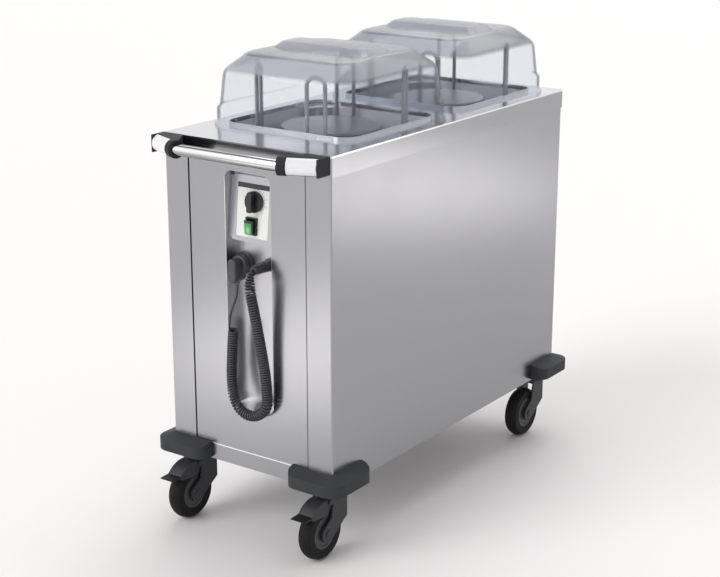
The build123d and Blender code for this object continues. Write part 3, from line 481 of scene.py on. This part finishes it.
class MiddleLine:
    # place, direction and cross directions at a length along the curls' middle line
    def __init__(self, points):
        self.points = points
        self.along = [0.0]
        for one, two in zip(points, points[1:]):
            self.along.append(self.along[-1] + (two - one).length)
        self.length = self.along[-1]
        self.ways = []
        for index in range(len(points)):
            low, high = max(index - 1, 0), min(index + 1, len(points) - 1)
            self.ways.append((points[high] - points[low]).normalized())
        side = Vector(cordSize["startSide"])
        self.sides = []
        for way in self.ways:
            side = (side - way * side.dot(way)).normalized()
            self.sides.append(side)
        self.last = 1

    def at(self, spot):
        spot = min(max(spot, 0.0), self.length)
        index = self.last
        while index > 1 and self.along[index - 1] > spot:
            index -= 1
        while index < len(self.along) - 1 and self.along[index] < spot:
            index += 1
        self.last = index
        share = (spot - self.along[index - 1]) / (self.along[index] - self.along[index - 1])
        point = self.points[index - 1].lerp(self.points[index], share)
        way = self.ways[index - 1].lerp(self.ways[index], share).normalized()
        side = self.sides[index - 1].lerp(self.sides[index], share).normalized()
        return point, way, side

    def bend(self, spot, reach):
        low, high = max(spot - reach, 0.0), min(spot + reach, self.length)
        return (self.at(high)[1] - self.at(low)[1]).length / (high - low)

    def curlPoint(self, spot, angle, radius):
        point, way, side = self.at(spot)
        cross = way.cross(side).normalized()
        return point + (side * math.cos(angle) + cross * math.sin(angle)) * radius


def curlReach(spot):
    # the first curls at the boot are smaller
    share = eased(min(spot / cordSize["taper"], 1.0))
    return cordSize["curlRadius"] * (cordSize["startShare"] + (1 - cordSize["startShare"]) * share)


def windCurls(line, scale, fromEnd):
    # follows the wire from one end to the middle
    spot = angle = wire = 0.0
    step = cordSize["step"]
    half = line.length / 2
    lowest = min(range(len(line.points)), key=lambda index: line.points[index].z)
    lowZ, lowAt = line.points[lowest].z, line.along[lowest]
    hang = line.points[0].z - lowZ
    states = [(0.0, 0.0)]
    while spot < half:
        share = eased(min(wire / cordSize["lead"], 1.0)) if fromEnd else 1.0
        here = line.length - spot if fromEnd else spot
        radius = curlReach(here)
        weight = (line.at(here)[0].z - lowZ) / hang if here < lowAt else 0.0
        pitch = (cordSize["thick"] + cordSize["gap"]) / (1 - radius * line.bend(here, radius))
        pitch *= scale * (1 + cordSize["stretch"] * weight)
        slope = math.atan(2 * math.pi * radius / pitch) * share
        forward = step * math.cos(slope)
        part = min(1.0, (half - spot) / forward)
        spot += forward * part
        angle += part * step * math.sin(slope) / radius
        wire += step
        states.append((spot, angle))
    return states


def curlPoints(line):
    # the pitch is scaled until the number of turns comes out
    scale = 1.0
    for attempt in range(cordSize["fits"]):
        first = windCurls(line, scale, False)
        last = windCurls(line, scale, True)
        total = first[-1][1] + last[-1][1]
        scale *= total / (2 * math.pi * cordSize["turns"])
    states = first[:-1] + [(line.length - spot, total - angle) for spot, angle in reversed(last)]
    half = math.pi / cordSize["perTurn"]
    outward = 1 / math.cos(half)
    points = [line.curlPoint(0.0, 0.0, curlReach(0.0))]
    nextAngle = half
    for (spot, angle), (spotAfter, angleAfter) in zip(states, states[1:]):
        while angle <= nextAngle < angleAfter:
            share = (nextAngle - angle) / (angleAfter - angle)
            here = spot + (spotAfter - spot) * share
            points.append(line.curlPoint(here, nextAngle, curlReach(here) * outward))
            nextAngle += 2 * half
    return points, line.curlPoint(line.length, total, cordSize["curlRadius"]), line.ways[-1]


def makeCord():
    bootEnd, neckFoot = Vector(cordSize["bootEnd"]), Vector(cordSize["neckFoot"])
    route = [bootEnd + Vector(step) for step in curlRoute]
    points, end, way = curlPoints(MiddleLine(curveSpots("curlMiddle", route, cordSize["middleSteps"])))
    start = points[0] + Vector((0, cordSize["inBoot"], 0))
    points = [start] + points + [end + way * lead for lead in cordSize["tailLead"]]
    points += [neckFoot + Vector(step) for step in tailRoute]
    cord = smoothCurve("curlyCord", points, cordSize["wireSteps"])
    cord.data.bevel_depth = cordSize["thick"] / 2
    cord.data.bevel_resolution = cordSize["wireRound"]
    cord.data.use_fill_caps = True
    return cord, points


def splineLength(points):
    spots = curveSpots("cordMiddle", points, cordSize["wireSteps"])
    return sum((two - one).length for one, two in zip(spots, spots[1:]))


cord, cordPoints = makeCord()
cordLength = splineLength(cordPoints)
cord.data.materials.append(mouldedPlastic("cordRubber", cordLook))
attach(cord, "cabinet")
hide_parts("cord_curl", "cord_tail")
print("cord wound:", len(cordPoints), "points,", round(cordLength, 3), "m")

# how the pieces below are shaped by hand
handWork = {"near": 1e-5, "bendAngle": 32}


def pick(kind, test):
    # selects parts of the mesh in edit mode by their place
    bpy.ops.mesh.select_mode(type={"edges": "EDGE", "faces": "FACE"}[kind])
    bpy.ops.mesh.select_all(action="DESELECT")
    mesh = bmesh.from_edit_mesh(bpy.context.object.data)
    for part in getattr(mesh, kind):
        if test(part):
            part.select_set(True)
    bmesh.update_edit_mesh(bpy.context.object.data)


def levelAt(height):
    return lambda part: all(abs(vertex.co.z - height) < handWork["near"] for vertex in part.verts)


def upright(least):
    return lambda edge: abs(edge.verts[0].co.z - edge.verts[1].co.z) > least


def roundEdges(test, bend):
    # bend holds the width of the rounding and its segments
    pick("edges", test)
    bpy.ops.mesh.bevel(offset=bend[0], segments=bend[1], affect="EDGES")


def pullUp(rise):
    bpy.ops.mesh.extrude_region_move(TRANSFORM_OT_translate={"value": (0, 0, rise)})


def smoothBends():
    bpy.ops.object.shade_smooth_by_angle(angle=math.radians(handWork["bendAngle"]))


def block(name, half, low, high):
    # a box as the start of a piece
    bpy.ops.object.select_all(action="DESELECT")
    middle = (low + high) / 2
    bpy.ops.mesh.primitive_cube_add(size=2.0, scale=(*half, (high - low) / 2), location=(0, 0, middle))
    piece = bpy.context.object
    piece.name = name
    bpy.ops.object.transform_apply(location=True, rotation=True, scale=True)
    return piece


# the hoods: one clear shell with rounded bends, copied to the other well
hoodSize = {
    "places": {"front": -0.157144, "rear": 0.283856},
    "base": 0.9003,
    "half": 0.207,
    "corner": (0.075, 9),
    "flange": 0.006,
    "flangeThick": 0.006,
    "flangeRound": (0.0015, 2),
    "bandTop": 0.039,
    "step": 0.007,
    "stepRound": (0.003, 3),
    "shoulder": 0.1215,
    "shoulderRound": (0.012, 4),
    "lean": 0.007,
    "crown": 0.161,
    "crownRound": (0.009, 4),
    "shoulderIn": 0.045,
    "grip": (0.131, 0.052),
    "gripMiddle": 0.02,
    "gripRise": 0.014,
    "gripSlope": 0.016,
    "gripCorner": (0.016, 5),
    "gripRound": (0.006, 4),
    "wall": 0.003,
}
hoodLook = {
    "clear": (0.76, 0.785, 0.835),
    "clearRough": 0.03,
    "index": 1.01,
    "alpha": 0.5,
    "coat": 0.5,
    "coatIndex": 1.4,
    "milk": (0.41, 0.43, 0.47),
    "milkRough": 0.18,
    "cloudy": 0.54,
    "cloudySoft": 0.006,
    # painted shade: the right slope is greyer
    "side": (0.140, 0.150),
    "shadedSlopeMilk": (0.22, 0.235, 0.265),
    "line": (0.24, 0.25, 0.28),
    "lineDrop": (0.0075, 0.0030),
    "edge": (0.13, 0.145, 0.17),
    "edgeRough": 0.10,
    "edgeFacing": (0.55, 0.92),
    "rim": 0.88,
    "rimFoot": (0.008, 0.014),
    "rimFootShare": 0.12,
}


def makeHood():
    size = hoodSize
    hood = block("clearHood_front", (size["half"], size["half"]), 0.0, size["flangeThick"])
    bpy.ops.object.mode_set(mode="EDIT")
    roundEdges(upright(size["flangeThick"] / 2), size["corner"])
    pick("faces", levelAt(size["flangeThick"]))
    bpy.ops.mesh.inset(thickness=size["flange"])
    pullUp(size["bandTop"] - size["flangeThick"])
    bpy.ops.mesh.inset(thickness=size["step"], depth=size["step"])
    wall = size["half"] - size["flange"] - size["step"]
    shoulder = wall - size["lean"]
    crown = shoulder - size["shoulderIn"]
    stepTop = size["bandTop"] + size["step"]
    height, width = stepTop, wall
    for nextHeight, nextWidth in ((size["shoulder"], shoulder), (size["crown"], crown)):
        pullUp(nextHeight - height)
        share = nextWidth / width
        bpy.ops.transform.resize(value=(share, share, 1), center_override=(0, 0, nextHeight))
        height, width = nextHeight, nextWidth
    roundEdges(levelAt(size["crown"]), size["crownRound"])
    roundEdges(levelAt(size["shoulder"]), size["shoulderRound"])
    roundEdges(levelAt(stepTop), size["stepRound"])
    roundEdges(levelAt(size["bandTop"]), size["stepRound"])
    roundEdges(levelAt(size["flangeThick"]), size["flangeRound"])
    makeGrip()
    pick("faces", levelAt(0.0))
    bpy.ops.mesh.delete(type="FACE")
    bpy.ops.mesh.select_all(action="SELECT")
    bpy.ops.mesh.normals_make_consistent(inside=False)
    bpy.ops.object.mode_set(mode="OBJECT")
    thick = hood.modifiers.new("wall", "SOLIDIFY")
    thick.thickness = size["wall"]
    thick.offset = -1.0
    thick.use_even_offset = True
    bpy.ops.object.modifier_apply(modifier="wall")
    smoothBends()
    hood.data.materials.append(hoodFinish())
    return hood


def makeGrip():
    # cut out of the crown, raised and drawn in
    onCrown = levelAt(hoodSize["crown"])
    reachX, reachY = hoodSize["grip"]
    for reach, normal in ((reachX, (1, 0, 0)), (reachY, (0, 1, 0))):
        for side in (-1, 1):
            pick("faces", onCrown)
            bpy.ops.mesh.bisect(plane_co=Vector(normal) * side * reach, plane_no=normal)
    middle = hoodSize["gripMiddle"]
    pick("faces", lambda face: onCrown(face) and face.calc_center_median().xy.length < middle)
    pullUp(hoodSize["gripRise"])
    top, slope = hoodSize["crown"] + hoodSize["gripRise"], hoodSize["gripSlope"]
    shrink = ((reachX - slope) / reachX, (reachY - slope) / reachY, 1)
    bpy.ops.transform.resize(value=shrink, center_override=(0, 0, top))
    steep = upright(hoodSize["gripRise"] / 2)
    reachesTop = top - handWork["near"]
    roundEdges(
        lambda edge: steep(edge) and max(vertex.co.z for vertex in edge.verts) > reachesTop,
        hoodSize["gripCorner"])
    roundEdges(levelAt(top), hoodSize["gripRound"])


def hoodFinish():
    # clear sheet, cloudy above the shoulder, with painted shade on the right slope, darker at its rims
    finish = Finish("hoodClear")
    clear = {"Base Color": (*hoodLook["clear"], 1.0), "Roughness": hoodLook["clearRough"]}
    clear.update({"Transmission Weight": 1.0, "IOR": hoodLook["index"], "Alpha": hoodLook["alpha"]})
    clear.update({"Coat Weight": hoodLook["coat"], "Coat IOR": hoodLook["coatIndex"]})
    height = finish.axis("Z") - hoodSize["base"]
    lineLow, lineHigh = (hoodSize["crown"] - drop for drop in hoodLook["lineDrop"])
    # painted shade on the right slope
    tone = finish.blend(finish.axis("X").ramp(*hoodLook["side"]), hoodLook["milk"], hoodLook["shadedSlopeMilk"])
    tone = finish.blend(height.within(lineLow, lineHigh), tone, hoodLook["line"])
    milk = {"Base Color": tone, "Roughness": hoodLook["milkRough"]}
    soft = hoodLook["cloudySoft"]
    high = height.ramp(hoodSize["shoulder"] - soft, hoodSize["shoulder"] + soft)
    shares = {0: high * hoodLook["cloudy"], 1: finish.surface(clear), 2: finish.surface(milk)}
    mixed = finish.node("MixShader", None, shares)
    rim = finish.node("LayerWeight", out="Facing").ramp(*hoodLook["edgeFacing"])
    rim = rim * (1 - high) * hoodLook["rim"]
    foot = hoodLook["rimFootShare"]
    rim = rim * (foot + (1 - foot) * height.ramp(*hoodLook["rimFoot"]))
    edge = {"Base Color": (*hoodLook["edge"], 1.0), "Roughness": hoodLook["edgeRough"]}
    return finish.done(finish.node("MixShader", None, {0: rim, 1: mixed, 2: finish.surface(edge)}))


firstHood = makeHood()
hoods = {"front": firstHood, "rear": firstHood.copy()}
hoods["rear"].data = firstHood.data.copy()
hoods["rear"].name = "clearHood_rear"
bpy.context.scene.collection.objects.link(hoods["rear"])
for well, hood in hoods.items():
    hood.data.transform(Matrix.Translation((0, hoodSize["places"][well], hoodSize["base"])))
    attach(hood, "hood_" + well)
    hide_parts("hood_" + well)
print("hoods shaped")

# the handle bar: a smooth chromed tube with painted bright and dark reflection streaks along it
barSize = {
    "radius": 0.0125,
    "half": 0.149,
    "centre": (0.0, -0.524944, 0.8815),
    "edge": (0.001, 3),
    "sides": 96,
}
barLook = {"grain": 900.0, "rough": 0.12, "grainRough": 0.06, "depth": 0.02}
barReflections = [
    (-180, 0.34), (-75, 0.20), (-40, 0.22), (-20, 0.36), (0, 0.55), (8, 0.90), (38, 0.94), (50, 0.16),
    (60, 0.13), (68, 0.72), (74, 0.36), (110, 0.30), (180, 0.34),
]


def barFinish():
    # painted reflection streaks lie at angles round the tube, 0 at the front and 90 on top
    finish = Finish("handleChrome")
    forward = barSize["centre"][1] - finish.axis("Y")
    upward = finish.axis("Z") - barSize["centre"][2]
    around = upward.calc("ARCTAN2", forward) * (0.5 / math.pi) + 0.5
    stops = [((angle + 180) / 360, tone) for angle, tone in barReflections]
    tone = finish.node("ValToRGB", {"stops": stops}, {"Fac": around})
    fine = finish.noise(barLook["grain"], (brushLook["stretch"], 1, 1))
    rough = barLook["rough"] + fine.sway(barLook["grainRough"])
    values = {"Base Color": tone, "Metallic": 1.0, "Roughness": rough}
    values["Normal"] = finish.bump(fine, barLook["depth"], brushLook["bump"])
    return finish.done(finish.surface(values))


def makeBar():
    bpy.ops.object.select_all(action="DESELECT")
    bpy.ops.mesh.primitive_cylinder_add(
        vertices=barSize["sides"], radius=barSize["radius"], depth=2 * barSize["half"],
        location=barSize["centre"], rotation=(0, math.pi / 2, 0))
    bar = bpy.context.object
    bar.name = "handleBar"
    bpy.ops.object.transform_apply(location=True, rotation=True, scale=True)
    bpy.ops.object.mode_set(mode="EDIT")
    roundEdges(lambda edge: abs(edge.verts[0].co.x - edge.verts[1].co.x) < handWork["near"], barSize["edge"])
    bpy.ops.object.mode_set(mode="OBJECT")
    smoothBends()
    bar.data.materials.append(barFinish())
    return bar


bar = makeBar()
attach(bar, "cabinet")
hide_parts("handle_tube")
print("handle bar turned")

# the printed plate in the control box: white, a dark strip along its top, a scale round the knob
plateSize = {
    "half": (0.0427, 0.0584),
    "corner": (0.002, 4),
    "edge": (0.00012, 1),
    "thick": 0.0004,
    "lean": 6.0,
    "centre": (0.0035, -0.445099, 0.752166),
    "lap": 0.0015,
    "cut": 0.06,
}
plateLook = {
    "white": (0.83, 0.84, 0.82),
    "shade": 0.96,
    "cloud": 30.0,
    "rough": 0.30,
    "cloudRough": 0.1,
    "strip": (0.030, 0.040, 0.043),
    "stripPlace": (0.7990, 0.8100),
    "ink": (0.16, 0.17, 0.17),
}
dialMarks = {
    "middle": (0.0085, 0.772),
    "inner": 0.0252,
    "outer": 0.0280,
    "sweep": 2.36,
    "spare": 0.05,
    "count": 18,
    "share": 0.14,
    "figures": 10,
    "figure": 0.0046,
    "figureGap": 0.0038,
    "figureThick": 0.00004,
}
inkLook = {"colour": (0.10, 0.105, 0.11), "pale": 1.2, "rough": 0.45, "grain": 1500.0, "depth": 0.02}


def plateFinish():
    # ticks repeat with the angle round the knob and stop at both ends of the sweep
    finish = Finish("printedPlate")
    height = finish.axis("Z")
    across = finish.axis("X") - dialMarks["middle"][0]
    rise = (height - dialMarks["middle"][1]) * (1 / math.cos(math.radians(plateSize["lean"])))
    reach = (across * across + rise * rise).calc("SQRT")
    around = across.calc("ARCTAN2", rise)
    step = 2 * dialMarks["sweep"] / dialMarks["count"]
    half, end = dialMarks["share"] / 2, dialMarks["sweep"] + dialMarks["spare"]
    ticks = (around * (1 / step) + 0.5).calc("FRACT").within(0.5 - half, 0.5 + half)
    scale = ticks * around.within(-end, end) * reach.within(dialMarks["inner"], dialMarks["outer"])
    cloud = finish.noise(plateLook["cloud"], detail=3.0)
    shade = tuple(part * plateLook["shade"] for part in plateLook["white"])
    colour = finish.blend(cloud, plateLook["white"], shade)
    colour = finish.blend(scale, colour, plateLook["ink"])
    colour = finish.blend(height.within(*plateLook["stripPlace"]), colour, plateLook["strip"])
    rough = plateLook["rough"] + cloud.sway(plateLook["cloudRough"])
    return finish.done(finish.surface({"Base Color": colour, "Roughness": rough}))


def boxLean():
    # turns a flat piece up to the leaning face of the control box
    return Matrix.Rotation(math.radians(90 - plateSize["lean"]), 4, "X")


def plateStand():
    return Matrix.Translation(plateSize["centre"]) @ boxLean()


def makePlate():
    plate = block("printedPlate", plateSize["half"], 0.0, plateSize["thick"])
    bpy.ops.object.mode_set(mode="EDIT")
    roundEdges(upright(plateSize["thick"] / 2), plateSize["corner"])
    roundEdges(levelAt(plateSize["thick"]), plateSize["edge"])
    bpy.ops.object.mode_set(mode="OBJECT")
    plate.data.transform(plateStand())
    openPlate(plate)
    plate.data.materials.append(plateFinish())
    return plate


def openPlate(plate):
    # the opening behind the switch
    low, high = (Vector(corner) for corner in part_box("switch_housing"))
    half = ((high.x - low.x) / 2 - plateSize["lap"], plateSize["cut"])
    rise = (high.z - low.z) / 2 - plateSize["lap"]
    cutter = block("plateCutter", half, -rise, rise)
    cutter.data.transform(Matrix.Translation((low + high) / 2))
    cut = plate.modifiers.new("opening", "BOOLEAN")
    cut.object = cutter
    cut.operation = "DIFFERENCE"
    cut.solver = "EXACT"
    bpy.ops.object.select_all(action="DESELECT")
    plate.select_set(True)
    bpy.context.view_layer.objects.active = plate
    bpy.ops.object.modifier_apply(modifier="opening")
    bpy.data.objects.remove(cutter)


def makeFigures():
    # plain numbers round the scale, one flat mesh
    aside = dialMarks["middle"][0] - plateSize["centre"][0]
    rise = (dialMarks["middle"][1] - plateSize["centre"][2]) / math.cos(math.radians(plateSize["lean"]))
    reach = dialMarks["outer"] + dialMarks["figureGap"]
    made = []
    for number in range(dialMarks["figures"]):
        angle = -dialMarks["sweep"] + number * 2 * dialMarks["sweep"] / (dialMarks["figures"] - 1)
        bpy.ops.object.select_all(action="DESELECT")
        bpy.ops.object.text_add(location=(0, 0, 0))
        figure = bpy.context.object
        figure.data.body = str(number)
        figure.data.size = dialMarks["figure"]
        figure.data.align_x, figure.data.align_y = "CENTER", "CENTER"
        figure.data.extrude = dialMarks["figureThick"]
        bpy.ops.object.convert(target="MESH")
        spot = (aside + math.sin(angle) * reach, rise + math.cos(angle) * reach, plateSize["thick"])
        figure.data.transform(Matrix.Translation(spot))
        made.append(figure)
    bpy.ops.object.select_all(action="DESELECT")
    for figure in made:
        figure.select_set(True)
    bpy.context.view_layer.objects.active = made[0]
    bpy.ops.object.join()
    made[0].name = "dialFigures"
    made[0].data.name = "dialFigures"
    made[0].data.transform(plateStand())
    made[0].data.materials.clear()
    made[0].data.materials.append(mouldedPlastic("printInk", inkLook))
    return made[0]


# the folded flanges that close the control box against the recess
stripSize = {
    "half": (0.00215, 0.068),
    "thick": 0.0008,
    "edge": (0.0003, 2),
    "across": (-0.05775, 0.06475),
    "deep": 0.0016,
    "rise": 0.0024,
}


def makeStrips():
    made = []
    for number, across in enumerate(stripSize["across"]):
        strip = block(f"boxFlange_{number + 1}", stripSize["half"], 0.0, stripSize["thick"])
        bpy.ops.object.mode_set(mode="EDIT")
        roundEdges(levelAt(stripSize["thick"]), stripSize["edge"])
        bpy.ops.object.mode_set(mode="OBJECT")
        centre = Vector(plateSize["centre"])
        centre += Vector((across - centre.x, stripSize["deep"], stripSize["rise"]))
        strip.data.transform(Matrix.Translation(centre) @ boxLean())
        strip.data.materials.append(recessSteel)
        made.append(strip)
    return made


for strip in makeStrips():
    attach(strip, "cabinet")
plate = makePlate()
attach(plate, "cabinet")
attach(makeFigures(), "cabinet")
print("control plate printed")

# wheel covers: a ring in the dish on each side of every hub
coverSize = {
    "outer": 0.0308,
    "inner": 0.0123,
    "thick": 0.0040,
    "edge": (0.0012, 3),
    "sides": 64,
    "middle": 0.0113,
}


def onRim(edge):
    # an edge that runs round one of the two flat sides
    one, two = (vertex.co for vertex in edge.verts)
    flat = all(abs(abs(spot.x) - coverSize["thick"] / 2) < handWork["near"] for spot in (one, two))
    return flat and abs(one.yz.length - two.yz.length) < handWork["near"]


def makeCover():
    bpy.ops.object.select_all(action="DESELECT")
    bpy.ops.mesh.primitive_cylinder_add(
        vertices=coverSize["sides"], radius=coverSize["outer"], depth=coverSize["thick"],
        rotation=(0, math.pi / 2, 0))
    cover = bpy.context.object
    bpy.ops.object.transform_apply(location=True, rotation=True, scale=True)
    bpy.ops.object.mode_set(mode="EDIT")
    pick("faces", lambda face: abs(face.normal.x) > face.normal.yz.length)
    bpy.ops.mesh.inset(thickness=coverSize["outer"] - coverSize["inner"], use_individual=True)
    bpy.ops.mesh.delete(type="FACE")
    pick("edges", lambda edge: len(edge.link_faces) == 1)
    bpy.ops.mesh.bridge_edge_loops()
    roundEdges(onRim, coverSize["edge"])
    bpy.ops.mesh.select_all(action="SELECT")
    bpy.ops.mesh.normals_make_consistent(inside=False)
    bpy.ops.object.mode_set(mode="OBJECT")
    smoothBends()
    cover.data.materials.append(hubPlastic)
    return cover


firstCover = makeCover()
for corner in corners:
    low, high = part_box("hub_" + corner)
    for side, word in ((-1, "left"), (1, "right")):
        cover = firstCover.copy()
        cover.data = firstCover.data.copy()
        cover.name = f"wheelCover_{corner}_{word}"
        bpy.context.scene.collection.objects.link(cover)
        middle = (Vector(low) + Vector(high)) / 2 + Vector((side * coverSize["middle"], 0, 0))
        cover.data.transform(Matrix.Translation(middle))
        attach(cover, "wheel_" + corner)
bpy.data.objects.remove(firstCover)
print("wheel covers in place")

# floor and light: a white room for the camera, metal and glass, a plain level for the rest
stageLook = {
    "size": 60.0,
    "floor": (0.94, 0.922, 0.915),
    "rough": 0.7,
    "gloss": 0.2,
    "room": 1.0,
    "fill": 0.52,
}
poolLights = {
    "sidePool": {"place": (2.28, 2.58, 2.5), "spread": 48.0, "power": 470.0, "soft": 0.2},
    "frontPool": {"place": (-0.62, -1.66, 2.5), "spread": 34.0, "power": 300.0, "soft": 0.2},
}
sunLights = {
    "backSun": {"place": (-0.7, 3.1, 4.2), "spread": 55.0, "power": 1.2},
    "frontSun": {"place": (-1.4, -3.2, 2.2), "spread": 40.0, "power": 1.35},
}


def makeFloor():
    bpy.ops.object.select_all(action="DESELECT")
    bpy.ops.mesh.primitive_plane_add(size=stageLook["size"], location=(0, 0, 0))
    floor = bpy.context.object
    floor.name = "floor"
    finish = Finish("floorPale")
    values = {"Base Color": (*stageLook["floor"], 1.0), "Roughness": stageLook["rough"]}
    values["Specular IOR Level"] = stageLook["gloss"]
    floor.data.materials.append(finish.done(finish.surface(values)))
    return floor


def makeRoom():
    room = bpy.data.worlds.new("studio")
    bpy.context.scene.world = room
    room.use_nodes = True
    tree = room.node_tree
    path = tree.nodes.new("ShaderNodeLightPath")
    seen = path.outputs["Is Camera Ray"]
    for name in ("Is Glossy Ray", "Is Transmission Ray"):
        either = tree.nodes.new("ShaderNodeMath")
        either.operation = "MAXIMUM"
        tree.links.new(seen, either.inputs[0])
        tree.links.new(path.outputs[name], either.inputs[1])
        seen = either.outputs[0]
    level = tree.nodes.new("ShaderNodeMapRange")
    level.inputs["To Min"].default_value = stageLook["fill"]
    level.inputs["To Max"].default_value = stageLook["room"]
    tree.links.new(seen, level.inputs["Value"])
    tree.links.new(level.outputs[0], tree.nodes["Background"].inputs["Strength"])
    tree.nodes["Background"].inputs["Color"].default_value = (1.0, 1.0, 1.0, 1.0)


def newLamp(name, kind, light):
    lamp = bpy.data.objects.new(name, bpy.data.lights.new(name, kind))
    bpy.context.scene.collection.objects.link(lamp)
    lamp.data.energy = light["power"]
    lamp.location = light["place"]
    return lamp


def floorPool(name, light):
    # a soft round pool of light on the floor beside the object
    lamp = newLamp(name, "SPOT", light)
    lamp.data.spot_size = math.radians(light["spread"])
    lamp.data.spot_blend = 1.0
    lamp.data.shadow_soft_size = light["soft"]


def softSun(name, light):
    lamp = newLamp(name, "SUN", light)
    lamp.data.angle = math.radians(light["spread"])
    lamp.rotation_mode = "QUATERNION"
    lamp.rotation_quaternion = (-Vector(light["place"])).to_track_quat("-Z", "Y")


floor = makeFloor()
makeRoom()
for name, light in poolLights.items():
    floorPool(name, light)
for name, light in sunLights.items():
    softSun(name, light)
print("stage set")
